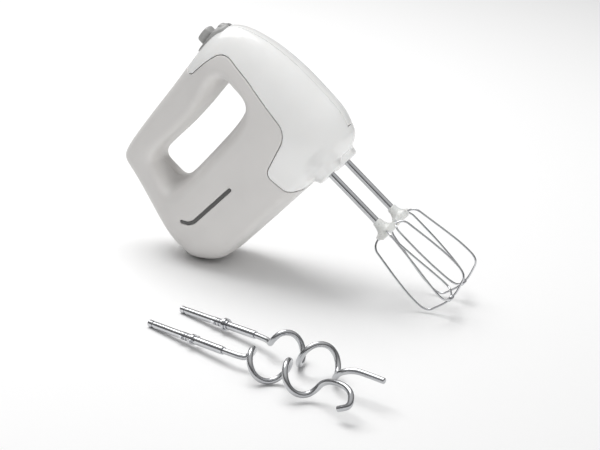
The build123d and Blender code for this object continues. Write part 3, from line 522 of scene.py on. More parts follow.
@dataclass
class FieldMesher:
    """Turns a field, positive inside the solid, into an even mesh with smooth normals."""

    step: float = 1.1

    def crossings(self, field_values: np.ndarray, axis: int) -> tuple[np.ndarray, np.ndarray, np.ndarray]:
        """Find the net's edges along one axis that cross the surface.

        Args:
            field_values: Field at the net's points.
            axis: 0, 1 or 2.

        Returns:
            Low ends of the edges, crossing points in net units, and which edges leave the solid.
        """
        count = field_values.shape[axis]
        low = np.take(field_values, range(count - 1), axis)
        high = np.take(field_values, range(1, count), axis)
        edges = np.argwhere((low > 0) != (high > 0))
        a = low[tuple(edges.T)]
        b = high[tuple(edges.T)]
        places = edges.astype(float)
        places[:, axis] += a / (a - b)
        return edges, places, a > 0

    def surface(self, field_values: np.ndarray) -> tuple[np.ndarray, np.ndarray]:
        """Put one vertex in each cell that the surface crosses, and one face on each crossed edge.

        Args:
            field_values: Field at the net's points.

        Returns:
            Vertices in net units and faces of four vertices.
        """
        cells = np.array(field_values.shape) - 1
        keys, places, quads = [], [], []
        for axis in range(3):
            u, v = (axis + 1) % 3, (axis + 2) % 3
            edges, points, leaving = self.crossings(field_values, axis)
            corners = []
            fits = np.ones(len(edges), bool)
            for du, dv in ((0, 0), (1, 0), (1, 1), (0, 1)):
                cell = edges.copy()
                cell[:, u] -= du
                cell[:, v] -= dv
                good = np.all((cell >= 0) & (cell < cells), axis=1)
                key = np.ravel_multi_index(tuple(np.clip(cell, 0, cells - 1).T), tuple(cells))
                keys.append(key[good])
                places.append(points[good])
                corners.append(key)
                fits &= good
            ring = np.stack(corners, 1)
            ring[~leaving] = ring[~leaving][:, ::-1]
            quads.append(ring[fits])
        key = np.concatenate(keys)
        place = np.concatenate(places)
        names, index = np.unique(key, return_inverse=True)
        number = np.bincount(index)
        vertices = np.stack([np.bincount(index, place[:, k]) / number for k in range(3)], 1)
        faces = np.searchsorted(names, np.concatenate(quads))
        return vertices, faces

    def slope(self, solid: Callable, points: np.ndarray) -> np.ndarray:
        """Direction in which the field grows at each point."""
        reach = 0.12
        rows = []
        for k in range(3):
            shift = np.zeros(3)
            shift[k] = reach
            rows.append(solid(*(points + shift).T) - solid(*(points - shift).T))
        return np.stack(rows, 1) / (2 * reach)

    def build(self, name: str, solid: Callable, box: list[tuple[float, float]],
              stance: Stance) -> bpy.types.Object:
        """Mesh one solid.

        Args:
            name: Name of the piece.
            solid: Field in upright millimetres.
            box: Ends of the space to search, along x, y and z.
            stance: Where the mixer stands.

        Returns:
            The piece, in row metres.
        """
        axes = [np.arange(low, high + self.step, self.step) for low, high in box]
        grid = np.meshgrid(*axes, indexing="ij", sparse=True)
        values = np.broadcast_to(solid(*grid), [len(axis) for axis in axes])
        points, faces = self.surface(np.asarray(values))
        points = points * self.step + np.array([axis[0] for axis in axes])
        for _ in range(3):
            slope = self.slope(solid, points)
            steep = np.maximum((slope**2).sum(1), 0.05)
            move = -(solid(*points.T) / steep)[:, None] * slope
            length = np.linalg.norm(move, axis=1, keepdims=True)
            points = points + move * np.minimum(1.0, 0.5 * self.step / np.maximum(length, 1e-9))
        normals = -self.slope(solid, points)
        normals /= np.maximum(np.linalg.norm(normals, axis=1, keepdims=True), 1e-9)
        place = np.array(stance.matrix())
        turn = place[:3, :3] / MM
        mesh = bpy.data.meshes.new(name)
        mesh.from_pydata((points @ place[:3, :3].T + place[:3, 3]).tolist(), [], faces.tolist())
        mesh.polygons.foreach_set("use_smooth", np.ones(len(faces), bool))
        mesh.normals_split_custom_set_from_vertices((normals @ turn.T).tolist())
        mesh.update()
        piece = bpy.data.objects.new(name, mesh)
        bpy.context.scene.collection.objects.link(piece)
        log.info("%s: %d faces", name, len(faces))
        return piece


# ---------------------------------------------------------------- the moulded body


@dataclass
class BodyForm:
    """Outer form of the motor body and handle: rounded plan sections stacked from below."""

    half_wide: float = 40.0
    nose_round: float = 60.0
    rear_round: float = 52.0
    wall: float = 2.4
    edge_round: float = 3.4
    # rear end (x, z), front end (x, z), half width at the rear and at the nose
    sections: tuple = (
        ((-128.0, 13.0), (20.0, 5.0), 0.68, 0.66), ((-135.5, 15.6), (27.5, 9.0), 0.83, 0.78),
        ((-147.0, 23.0), (34.5, 17.5), 0.94, 0.90), ((-156.5, 34.5), (38.5, 29.0), 0.99, 0.97),
        ((-160.0, 52.0), (40.6, 48.0), 1.00, 1.00), ((-158.3, 70.0), (41.1, 73.0), 0.98, 1.00),
        ((-154.2, 90.0), (40.0, 95.0), 0.86, 0.97), ((-150.8, 108.0), (37.6, 113.0), 0.67, 0.91),
        ((-146.6, 128.0), (33.0, 131.0), 0.53, 0.81), ((-144.4, 139.0), (27.5, 144.0), 0.47, 0.71),
        ((-140.2, 145.4), (21.5, 151.5), 0.39, 0.60), ((-131.0, 149.4), (14.0, 158.0), 0.26, 0.43),
    )

    def __post_init__(self) -> None:
        """Lay splines through the sections and map the squared half width over the side view."""
        middle = np.array([[(r[0] + f[0]) / 2, (r[1] + f[1]) / 2] for r, f, _, _ in self.sections])
        gaps = np.linalg.norm(np.diff(middle, axis=0), axis=1)
        self.knots = np.concatenate([[0.0], np.cumsum(gaps)])
        columns = zip(*[(*rear, *front, a, b) for rear, front, a, b in self.sections])
        self.curves = [Spline(self.knots, list(column)) for column in columns]
        self.width_map = SideMap((-172, 52), (-8, 172), 0.5, self.squared_width)
        steep = np.gradient(self.width_map.values, 0.5)
        self.width_map_x = SideMap((-172, 52), (-8, 172), 0.5, lambda x, z: steep[0])
        self.width_map_z = SideMap((-172, 52), (-8, 172), 0.5, lambda x, z: steep[1])

    def level(self, x: np.ndarray, z: np.ndarray) -> np.ndarray:
        """Which section, counted along the stack, passes through each place of the side view."""
        low = np.full(np.broadcast(x, z).shape, self.knots[0])
        high = np.full(low.shape, self.knots[-1])
        for _ in range(26):
            middle = (low + high) / 2
            x_rear, z_rear, x_front, z_front = (curve(middle) for curve in self.curves[:4])
            below = z_rear + (z_front - z_rear) * (x - x_rear) / (x_front - x_rear) < z
            low = np.where(below, middle, low)
            high = np.where(below, high, middle)
        return (low + high) / 2

    def squared_width(self, x: np.ndarray, z: np.ndarray) -> np.ndarray:
        """Half width squared over the side view; below zero outside the outline."""
        level = self.level(x, z)
        x_rear, _, x_front, _, rear, nose = (curve(level) for curve in self.curves)
        wide = (rear + (nose - rear) * ease((x + 62.0) / 56.0)) * self.half_wide
        ahead = np.maximum(1 - (x_front - x) / self.nose_round, 0.0)
        front = 1 - ahead**2.174
        behind = np.maximum(1 - (x - x_rear) / self.rear_round, 0.0)
        back = 1 - behind**2.564
        share = np.sign(front) * np.abs(front) ** 0.92
        share = np.minimum(share, np.sign(back) * np.abs(back) ** 0.78)
        return wide**2 * share

    def top(self, x: np.ndarray) -> np.ndarray:
        """Height of the flat top."""
        (x_rear, z_rear), (x_front, z_front) = self.sections[-1][:2]
        return z_rear + (z_front - z_rear) * (x - x_rear) / (x_front - x_rear)

    def depth(self, x: np.ndarray, y: np.ndarray, z: np.ndarray) -> np.ndarray:
        """Depth below the outer surface, without the hand opening."""
        squared = self.width_map(x, z)
        steep_x, steep_z = self.width_map_x(x, z), self.width_map_z(x, z)
        side = (squared - y * y) / np.sqrt(steep_x**2 + steep_z**2 + 4 * y * y + 4.0)
        (x_rear, z_rear), (x_front, z_front) = self.sections[0][:2]
        under = z - z_rear - (z_front - z_rear) * (x - x_rear) / (x_front - x_rear)
        body = round_min(side, under, self.edge_round)
        return round_min(body, self.top(x) - z, self.edge_round)


@dataclass
class HandOpening:
    """Opening behind the handle, narrowest at the middle plane and flared to both sides."""

    length: float = 108.5
    height: float = 36.0
    middle: tuple[float, float] = (-64.3, 106.6)
    dip: float = 4.6
    flare: tuple = ((-10, 0.0), (0, 0.0), (10, 0.7), (18, 3.2), (25, 7.5), (34, 13.0), (44, 17.0))

    def __post_init__(self) -> None:
        """Lay a spline through the flare."""
        self.flare_curve = Spline([y for y, _ in self.flare], [grow for _, grow in self.flare])

    def depth(self, x: np.ndarray, y: np.ndarray, z: np.ndarray) -> np.ndarray:
        """Distance from the opening's wall, positive in the plastic round it."""
        side = np.minimum(np.abs(y), 44.0)
        flare = self.flare_curve(side)
        growth = (self.flare_curve(side + 0.1) - self.flare_curve(side - 0.1)) / 0.2
        along = x - self.middle[0]
        up = z - self.middle[1]
        front = ease(along / 12.0 + 0.5)
        above = ease(up / 8.0 + 0.5)
        reach_share = 1.0 + (0.4 - 1.0) * front
        rise_share = 0.55 + (0.8 - 0.55) * above
        reach = self.length / 2 + flare * reach_share
        rise = self.height / 2 + flare * rise_share
        power = (3.4 * front + 4.0 * (1 - front)) * (1 - above) + (5.6 * front + 5.0 * (1 - front)) * above
        share = (along - 5.0) / (self.length / 2)
        up = up + self.dip * np.maximum(0.0, 1 - share**2) * ease(1.6 * up / rise)
        u = np.maximum(np.abs(along) / reach, 1e-4)
        v = np.maximum(np.abs(up) / rise, 1e-4)
        ring = (u**power + v**power) ** (1 / power)
        steep_x = (u / ring) ** (power - 1) / reach
        steep_z = (v / ring) ** (power - 1) / rise
        steep_y = (steep_x * u * reach_share + steep_z * v * rise_share) * growth
        return (ring - 1) / np.sqrt(steep_x**2 + steep_z**2 + steep_y**2)


@dataclass
class SeamLine:
    """Line between the grey body and the white nose cover, seen from the side."""

    corners: tuple = ((-31.2, 190), (-31.4, 146.4), (-9, 143.4), (8.6, 138.6), (8.9, 106), (2.4, 49.5),
                      (-36.8, 38.6), (-36.2, 14.5), (-20.5, 2.5), (-20.5, -20))
    radii: tuple = (5.0, 40.0, 13.0, 90.0, 17.0, 8.0, 13.0, 5.0)
    gap: float = 0.5

    def __post_init__(self) -> None:
        """Map the signed distance from the line."""
        path = rounded_path(list(self.corners), list(self.radii))
        closed = np.vstack([path, [[90, path[-1][1]], [90, path[0][1]]]])

        def signed(x: np.ndarray, z: np.ndarray) -> np.ndarray:
            """Distance from the line, positive ahead of it."""
            return path_distance(path, x, z) * np.where(within(closed, x, z), 1.0, -1.0)

        self.side_map = SideMap((-172, 52), (-8, 172), 0.5, signed)


@dataclass
class SlotGroove:
    """Long curved slot pressed into each side, with a polished inlay."""

    corners: tuple = ((-128.3, 63.0), (-124.4, 57.6), (-119.0, 54.9), (-71.6, 51.6))
    radii: tuple = (6.0, 9.0)
    wide: float = 3.4
    deep: float = 1.4
    recess: float = 0.5

    def __post_init__(self) -> None:
        """Map the distance from the slot's line."""
        path = rounded_path(list(self.corners), list(self.radii))
        self.side_map = SideMap((-172, 52), (-8, 172), 0.5, lambda x, z: path_distance(path, x, z))


@dataclass
class Housing:
    """Grey body halves, white nose covers with their centre strip, and the side inlays."""

    form: BodyForm = field(default_factory=BodyForm)
    opening: HandOpening = field(default_factory=HandOpening)
    seam: SeamLine = field(default_factory=SeamLine)
    slot: SlotGroove = field(default_factory=SlotGroove)
    opening_round: float = 6.0
    axis_gap: float = 42.0
    bore: float = 5.0
    deck: float = 14.0
    collar: tuple = ((-6.0, 11.2), (0.0, 11.2), (0.8, 12.0), (3.5, 12.4), (7.0, 13.1), (10.0, 13.7),
                     (14.0, 13.3), (18.0, 11.6), (22.0, 8.6))
    strip_half: float = 4.7
    strip_gap: float = 0.4
    strip_low: float = 20.0
    # radius, low and high end of the room round a spindle bush and round a worm wheel
    reliefs: tuple = ((7.66, 14.0, 18.5), (14.35, 40.5, 49.5))
    pillars: tuple = ((-141, 42), (-131, 118), (-66, 137.5), (-112, 77))
    pillar_r: float = 4.6
    screw_r: float = 3.5
    screw_seat: float = 13.0
    vents: int = 6
    vent_x: float = -100.0
    vent_pitch: float = 7.0
    vent_wide: float = 2.6
    cord_z: float = 66.0
    cord_r: float = 5.9
    button_x: float = 13.0
    button_r: float = 6.4
    part_gap: float = 0.08

    def skin(self, x: np.ndarray, y: np.ndarray, z: np.ndarray) -> np.ndarray:
        """Depth below the outer surface, with the opening and without the collars."""
        return round_min(self.form.depth(x, y, z), self.opening.depth(x, y, z), self.opening_round)

    def shell(self, x: np.ndarray, y: np.ndarray, z: np.ndarray) -> np.ndarray:
        """Depth inside the moulded wall, before it is parted."""
        skin = self.skin(x, y, z)
        ring = np.sqrt(x * x + (np.abs(y) - self.axis_gap / 2) ** 2)
        heights = np.array([h for h, _ in self.collar])
        radii = np.array([r for _, r in self.collar])
        collar = round_min(np.interp(z, heights, radii) - ring, z + 0.0 * ring, 1.0)
        collar = np.minimum(collar, 22.0 - z)
        solid = round_max(skin, collar, 8.0)
        hollow = np.minimum(skin - self.form.wall, np.maximum(z - self.deck, ring - 15.6))
        for px, pz in self.pillars:
            hollow = np.minimum(hollow, np.sqrt((x - px) ** 2 + (z - pz) ** 2) - self.pillar_r)
        shell = np.minimum(solid, -hollow)
        shell = round_min(shell, np.maximum(ring - self.bore, z - self.deck - 2.0), 0.8)
        for radius, low, high in self.reliefs:
            shell = np.minimum(shell, np.maximum(ring - radius, np.maximum(low - z, z - high)))
        vent = np.abs((x - self.vent_x + self.vent_pitch / 2) % self.vent_pitch - self.vent_pitch / 2
                      - self.vent_wide / 2) - self.vent_wide / 2
        last = self.vent_x + (self.vents - 1) * self.vent_pitch + self.vent_wide
        vent = np.maximum(vent, np.maximum(self.vent_x - 1.0 - x, x - last - 1.0))
        vent = np.maximum(vent, np.maximum(4.0 - np.abs(y), np.abs(y) - 22.0))
        shell = np.minimum(shell, np.maximum(vent, z - 18.0))
        cord = np.maximum(np.sqrt(y * y + (z - self.cord_z) ** 2) - self.cord_r, x + 140.0)
        shell = np.minimum(shell, cord)
        button = np.sqrt((x - self.button_x) ** 2 + y * y) - self.button_r
        shell = np.minimum(shell, np.maximum(button, 140.0 - z))
        stem = np.maximum(np.abs(x + 6.8) - 6.5, np.maximum(np.abs(y) - 2.5, 140.0 - z))
        return np.minimum(shell, stem)

    def grey(self, side: int, x: np.ndarray, y: np.ndarray, z: np.ndarray) -> np.ndarray:
        """Depth inside one grey half."""
        shell = self.shell(x, y, z)
        shell = round_min(shell, -self.seam.side_map(x, z) - self.seam.gap / 2, 0.9)
        slot = np.maximum(self.slot.side_map(x, z) - self.slot.wide / 2,
                          self.form.depth(x, y, z) - self.slot.deep)
        shell = round_min(shell, np.maximum(slot, 20.0 - side * y), 0.6)
        if side > 0:
            for px, pz in self.pillars:
                recess = np.sqrt((x - px) ** 2 + (z - pz) ** 2) - self.screw_r
                shell = np.minimum(shell, np.maximum(recess, self.screw_seat - y))
        return round_min(shell, side * y - self.part_gap, 0.5)

    def white(self, side: int, x: np.ndarray, y: np.ndarray, z: np.ndarray) -> np.ndarray:
        """Depth inside one white nose cover."""
        cover = round_min(self.shell(x, y, z), self.seam.side_map(x, z) - self.seam.gap / 2, 0.9)
        band = np.minimum(self.strip_half + self.strip_gap - np.abs(y), x - 18.0)
        band = np.minimum(band, z - self.strip_low + self.strip_gap)
        cover = round_min(cover, -band, 0.5)
        return round_min(cover, side * y - self.part_gap, 0.5)

    def strip(self, x: np.ndarray, y: np.ndarray, z: np.ndarray) -> np.ndarray:
        """Depth inside the strip down the nose."""
        band = np.minimum(self.strip_half - np.abs(y), x - 18.3)
        band = np.minimum(band, z - self.strip_low)
        cover = round_min(self.shell(x, y, z), self.seam.side_map(x, z) - self.seam.gap / 2, 0.9)
        return round_min(cover, band, 0.5)

    def inlay(self, side: int, x: np.ndarray, y: np.ndarray, z: np.ndarray) -> np.ndarray:
        """Depth inside one side's inlay."""
        depth = self.form.depth(x, y, z)
        line = self.slot.wide / 2 - 0.1 - self.slot.side_map(x, z)
        layer = np.minimum(depth - self.slot.recess, self.slot.deep - depth)
        return round_min(np.minimum(line, side * y - 20.0), layer, 0.5)

    def build(self, stance: Stance, paint: Paintbox) -> None:
        """Mesh, place and dress the shells.

        Args:
            stance: Where the mixer stands.
            paint: Gives the materials.
        """
        mesher = FieldMesher(1.1)
        fine = FieldMesher(0.45)
        for name, side in (("left", 1), ("right", -1)):
            y_grey = (-1.5, 43.0) if side > 0 else (-43.0, 1.5)
            self.place(f"body_shell_{name}", mesher, lambda x, y, z: self.grey(side, x, y, z),
                       [(-163.0, 14.0), y_grey, (2.0, 158.0)], Finishes.GREY_ABS, f"body_{name}",
                       "grey_body", stance, paint)
            self.place(f"cover_shell_{name}", mesher, lambda x, y, z: self.white(side, x, y, z),
                       [(-39.0, 44.0), y_grey, (-2.0, 161.0)], Finishes.WHITE_ABS,
                       f"nose_cover_{name}", "white_cover", stance, paint)
            y_slot = (20.0, 43.0) if side > 0 else (-43.0, -20.0)
            self.place(f"slot_band_{name}", fine, lambda x, y, z: self.inlay(side, x, y, z),
                       [(-131.0, -69.0), y_slot, (48.5, 66.0)], Finishes.SMOKED_ACRYLIC,
                       f"slot_inlay_{name}", "slot_dark", stance, paint)
        self.place("nose_band", FieldMesher(0.8), self.strip,
                   [(16.5, 43.0), (-6.0, 6.0), (18.0, 160.0)], Finishes.WHITE_ABS, "nose_strip",
                   "white_cover", stance, paint)

    @staticmethod
    def place(name: str, mesher: FieldMesher, solid: Callable, box: list, finish: Finishes,
              node: str, slot: str, stance: Stance, paint: Paintbox) -> None:
        """Mesh one shell in place of its CAD node.

        Args:
            name: Name of the piece.
            mesher: Makes the mesh.
            solid: Field of the piece.
            box: Space that holds it.
            finish: Material.
            node: CAD node that it stands for.
            slot: Material slot of that node; not used.
            stance: Where the mixer stands.
            paint: Gives the material.
        """
        piece = mesher.build(name, solid, box, stance)
        paint.give(piece, finish)
        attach(piece, "housing")
        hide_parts(node)


@dataclass
class Controls:
    """Plate on the front of the handle, with the speed knob and the ejector button."""

    form: BodyForm = field(default_factory=BodyForm)
    plate_x: tuple[float, float] = (-17.5, 18.6)
    plate_half: float = 10.5
    plate_corner: float = 7.0
    plate_proud: float = 1.9
    button_x: float = 13.0
    button_r: float = 5.0
    button_fit: float = 0.35
    button_proud: float = 2.5
    knob_x: float = -2.8
    knob_half: float = 7.0
    knob_high: float = 7.8
    knob_fit: float = 0.5
    travel: float = 8.0

    def above(self, x: np.ndarray, y: np.ndarray, z: np.ndarray) -> np.ndarray:
        """Height above the moulded surface under the controls."""
        return -self.form.depth(x, y, z)

    def plate(self, x: np.ndarray, y: np.ndarray, z: np.ndarray) -> np.ndarray:
        """Depth inside the plate, which follows the surface it is glued to."""
        middle = sum(self.plate_x) / 2
        half = (self.plate_x[1] - self.plate_x[0]) / 2
        u = np.maximum(np.abs(x - middle) - half + self.plate_corner, 0.0)
        v = np.maximum(np.abs(y) - self.plate_half + self.plate_corner, 0.0)
        outline = self.plate_corner - np.sqrt(u * u + v * v + 1e-6)
        over = self.above(x, y, z)
        plate = round_min(outline, self.plate_proud - over, 1.0)
        plate = np.minimum(plate, np.minimum(over + 0.4, z - 140.0))
        hole = np.sqrt((x - self.button_x) ** 2 + y * y) - self.button_r - self.button_fit
        plate = round_min(plate, hole, 0.5)
        slot = np.maximum(np.abs(x - self.knob_x + self.travel / 2) - self.travel / 2 - 2.5, np.abs(y) - 2.5)
        return np.minimum(plate, slot)

    def button(self, x: np.ndarray, y: np.ndarray, z: np.ndarray) -> np.ndarray:
        """Depth inside the button, domed along the same surface."""
        ring = self.button_r - np.sqrt((x - self.button_x) ** 2 + y * y + 1e-6)
        dome = self.button_proud - self.above(x, y, z) - 0.008 * ((x - self.button_x) ** 2 + y * y)
        return np.minimum(round_min(ring, dome, 1.6), z - self.form.top(x) + 7.0)

    def knob(self, x: np.ndarray, y: np.ndarray, z: np.ndarray) -> np.ndarray:
        """Depth inside the knob: a rounded block with a slightly crowned top."""
        low = self.form.top(x) + self.plate_proud + self.knob_fit
        up = z - low
        along = x - self.knob_x
        side = round_min(self.knob_half - np.abs(along), self.knob_half - np.abs(y), 3.6)
        crown = self.knob_high - 0.008 * (along * along + y * y)
        return round_min(round_min(side, crown - up, 2.6), up, 0.8)

    def build(self, stance: Stance, paint: Paintbox) -> None:
        """Mesh the controls in place of their CAD nodes and dress them.

        Args:
            stance: Where the mixer stands.
            paint: Gives the material.
        """
        jobs = (("control_skin", self.plate, [(-19.5, 22.5), (-12.0, 12.0), (144.0, 161.0)],
                 "control_plate", "housing"),
                ("button_cap", self.button, [(6.0, 20.0), (-7.0, 7.0), (148.0, 163.0)],
                 "eject_button", "ejector"),
                ("knob_cap", self.knob, [(-11.0, 5.5), (-8.0, 8.0), (157.0, 168.5)],
                 "speed_knob", "selector"))
        for name, solid, box, node, body in jobs:
            piece = FieldMesher(0.4).build(name, solid, box, stance)
            paint.give(piece, Finishes.CONTROL_ABS)
            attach(piece, body)
            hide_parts(node)


# ---------------------------------------------------------------- bent wire


def bent_wire(name: str, points: list[Vector], radius: float, round_end: bool = False) -> bpy.types.Object:
    """Make a round wire on one smooth line.

    Args:
        name: Name of the piece.
        points: Control points of the line, in row metres.
        radius: Radius of the wire, in metres.
        round_end: Whether the far end is rounded over.

    Returns:
        The wire, as a curve.
    """
    curve = bpy.data.curves.new(name, "CURVE")
    curve.dimensions = "3D"
    curve.bevel_depth = radius
    curve.bevel_resolution = 7
    curve.use_fill_caps = True
    knots = [(point, 1.0) for point in points]
    if round_end:
        tip = points[-1]
        back = (points[-2] - tip).normalized() * radius * 0.8
        knots = knots[:-1] + [(tip + back, 1.0), (tip, 0.95), (tip, 0.1)]
    line = curve.splines.new("NURBS")
    line.points.add(len(knots) - 1)
    for target, (point, share) in zip(line.points, knots):
        target.co = (*point, 1.0)
        target.radius = share
    line.order_u = 3
    line.use_endpoint_u = True
    line.resolution_u = 10
    piece = bpy.data.objects.new(name, curve)
    bpy.context.scene.collection.objects.link(piece)
    log.info("%s: %d control points", name, len(knots))
    return piece


@dataclass
class Whisk:
    """One beater: plated wires between a nylon hub and a welded tip."""

    name: str
    side: int
    turn: float
    wide: float = 24.402
    axis_gap: float = 42.0
    wire_r: float = 0.9
    wire_z: float = -67.0
    tip_z: float = -146.0
    shaft_r: float = 3.0
    hub_z: float = -65.0
    # radius as a share of the widest, height as a share, twist in degrees
    route: tuple = ((0.70, 0.0, 0.0), (0.80, 0.22, 4.0), (0.91, 0.45, 8.0), (1.0, 0.70, 13.0),
                    (0.97, 0.925, 17.0), (0.50, 0.975, 17.5), (0.22, 1.0, 18.0))

    def wire_points(self, azimuth: float, stance: Stance) -> list[Vector]:
        """Control points of one wire, from inside the hub to inside the tip."""
        rows = [(3.6, self.wire_z, 0.0)]
        for share, drop, twist in self.route:
            rows.append((self.wide * share, self.wire_z + (self.tip_z - self.wire_z) * drop, twist))
        rows.append((1.6, self.tip_z, self.route[-1][2]))
        points = []
        for r, z, twist in rows:
            angle = math.radians(azimuth + self.side * twist)
            y = self.side * self.axis_gap / 2 + r * math.sin(angle)
            points.append(stance.point(r * math.cos(angle), y, z))
        return points

    def hub(self, x: np.ndarray, y: np.ndarray, z: np.ndarray) -> np.ndarray:
        """Depth inside the hub: a bell on the shaft with a lug over each wire."""
        y = y - self.side * self.axis_gap / 2
        ring = np.sqrt(x * x + y * y)
        up = z - self.hub_z
        heights = np.array([-6.0, -5.0, 0.0, 2.5, 6.0, 10.0])
        radii = np.array([7.0, 7.8, 8.0, 5.7, 4.5, 4.05])
        bell = round_min(np.interp(up, heights, radii) - ring, np.minimum(up + 6.0, 10.0 - up), 1.2)
        for index in range(4):
            angle = math.radians(self.turn + 90 * index)
            along = x * math.cos(angle) + y * math.sin(angle)
            aside = np.abs(-x * math.sin(angle) + y * math.cos(angle))
            lug = np.minimum(np.minimum(10.2 - along, along), 1.9 - aside)
            lug = round_min(lug, 2.2 - np.abs(z - self.wire_z), 1.2)
            bell = round_max(bell, lug, 1.4)
        bore = np.maximum(ring - self.shaft_r, self.hub_z + 4.0 - z)
        return np.minimum(bell, bore)

    def tip(self, x: np.ndarray, y: np.ndarray, z: np.ndarray) -> np.ndarray:
        """Depth inside the welded tip."""
        y = y - self.side * self.axis_gap / 2
        ring = np.sqrt(x * x + y * y)
        return round_min(3.6 - ring, np.minimum(z - self.tip_z + 1.6, self.tip_z + 1.9 - z), 1.6)

    def build(self, stance: Stance, paint: Paintbox) -> None:
        """Make the wires, hub and tip, and dress them.

        Args:
            stance: Where the mixer stands.
            paint: Gives the materials.
        """
        body = f"whisk_{self.name}"
        for index in range(4):
            points = self.wire_points(self.turn + 90 * index, stance)
            wire = bent_wire(f"whisk_wire_{self.name}_{index + 1}", points, self.wire_r * MM)
            paint.give(wire, Finishes.CHROME)
            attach(wire, body)
            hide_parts(f"whisk_loop_{self.name}_{index % 2 + 1}")
        y = self.side * self.axis_gap / 2
        jobs = (("hub", self.hub, Finishes.NYLON, "hub_nylon", (self.hub_z - 7, self.hub_z + 11), 11.5),
                ("tip", self.tip, Finishes.CHROME, "whisk_chrome", (self.tip_z - 3, self.tip_z + 3), 5.0))
        for part, solid, finish, slot, heights, reach in jobs:
            piece = FieldMesher(0.35).build(f"whisk_{part}_skin_{self.name}", solid,
                                            [(-reach, reach), (y - reach, y + reach), heights], stance)
            paint.give(piece, finish)
            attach(piece, body)
            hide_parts(f"whisk_{part}_{self.name}")


@dataclass
class DoughHook:
    """One dough hook lying on the ground: a helix of thick wire on a shank."""

    name: str
    hand: int
    turn: float
    # each bend of the tail: distance past the helix, distance off the axis, further turn in degrees
    tail: tuple
    wire_r: float = 2.37
    radius: float = 11.4
    pitch: float = 36.0
    turns: float = 2.0
    steps: int = 8
    shank: float = 84.0
    socket: float = 6.0
    start: float = 100.0
    ramp: float = 0.45

    def route(self) -> list[tuple[float, float, float]]:
        """Control points of the wire along the shank's axis, in millimetres."""
        rows = []
        for step in range(1, math.ceil(self.turns * self.steps) + 1):
            share = step / self.steps
            grown = float(ease(np.array(0.25 + 0.75 * share / self.ramp)))
            r = self.radius * grown if share < self.ramp else self.radius
            rows.append((self.start + self.pitch * share, r, self.hand * 360 * share + self.turn))
        last_x, _, last_angle = rows[-1]
        for past, r, further in self.tail:
            rows.append((last_x + past, r, last_angle + self.hand * further))
        coil = [(x, r * math.cos(math.radians(a)), r * math.sin(math.radians(a))) for x, r, a in rows]
        return [(self.shank - self.socket, 0.0, 0.0), (self.start - 2.0, 0.0, 0.0), *coil]

    def placement(self, frame: dict) -> Matrix:
        """Matrix from the hook's own millimetres to row metres, read from its mount.


        Returns:
            The matrix, with the shank along X.
        """
        mount = next(m for m in frame["record"]["mounts"] if m["name"] == f"hook_{self.name}_end")
        along = -Vector(mount["axis"]).normalized()
        across = Vector((0, 0, 1)).cross(along).normalized()
        up = along.cross(across)
        end = Vector(mount["pos_m"]) - along * 19.4 * MM
        turn = Matrix((along, across, up)).transposed().to_4x4()
        return Matrix.Translation(end) @ turn @ Matrix.Scale(MM, 4)

    def build(self, frame: dict, paint: Paintbox) -> None:
        """Make the wire and dress it.

        Args:
            paint: Gives the material.
        """
        place = self.placement(frame)
        points = [place @ Vector(point) for point in self.route()]
        wire = bent_wire(f"hook_coil_{self.name}", points, self.wire_r * MM, round_end=True)
        paint.give(wire, Finishes.STAINLESS)
        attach(wire, f"hook_{self.name}")
        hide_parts(f"hook_{self.name}_wire")


# ---------------------------------------------------------------- studio


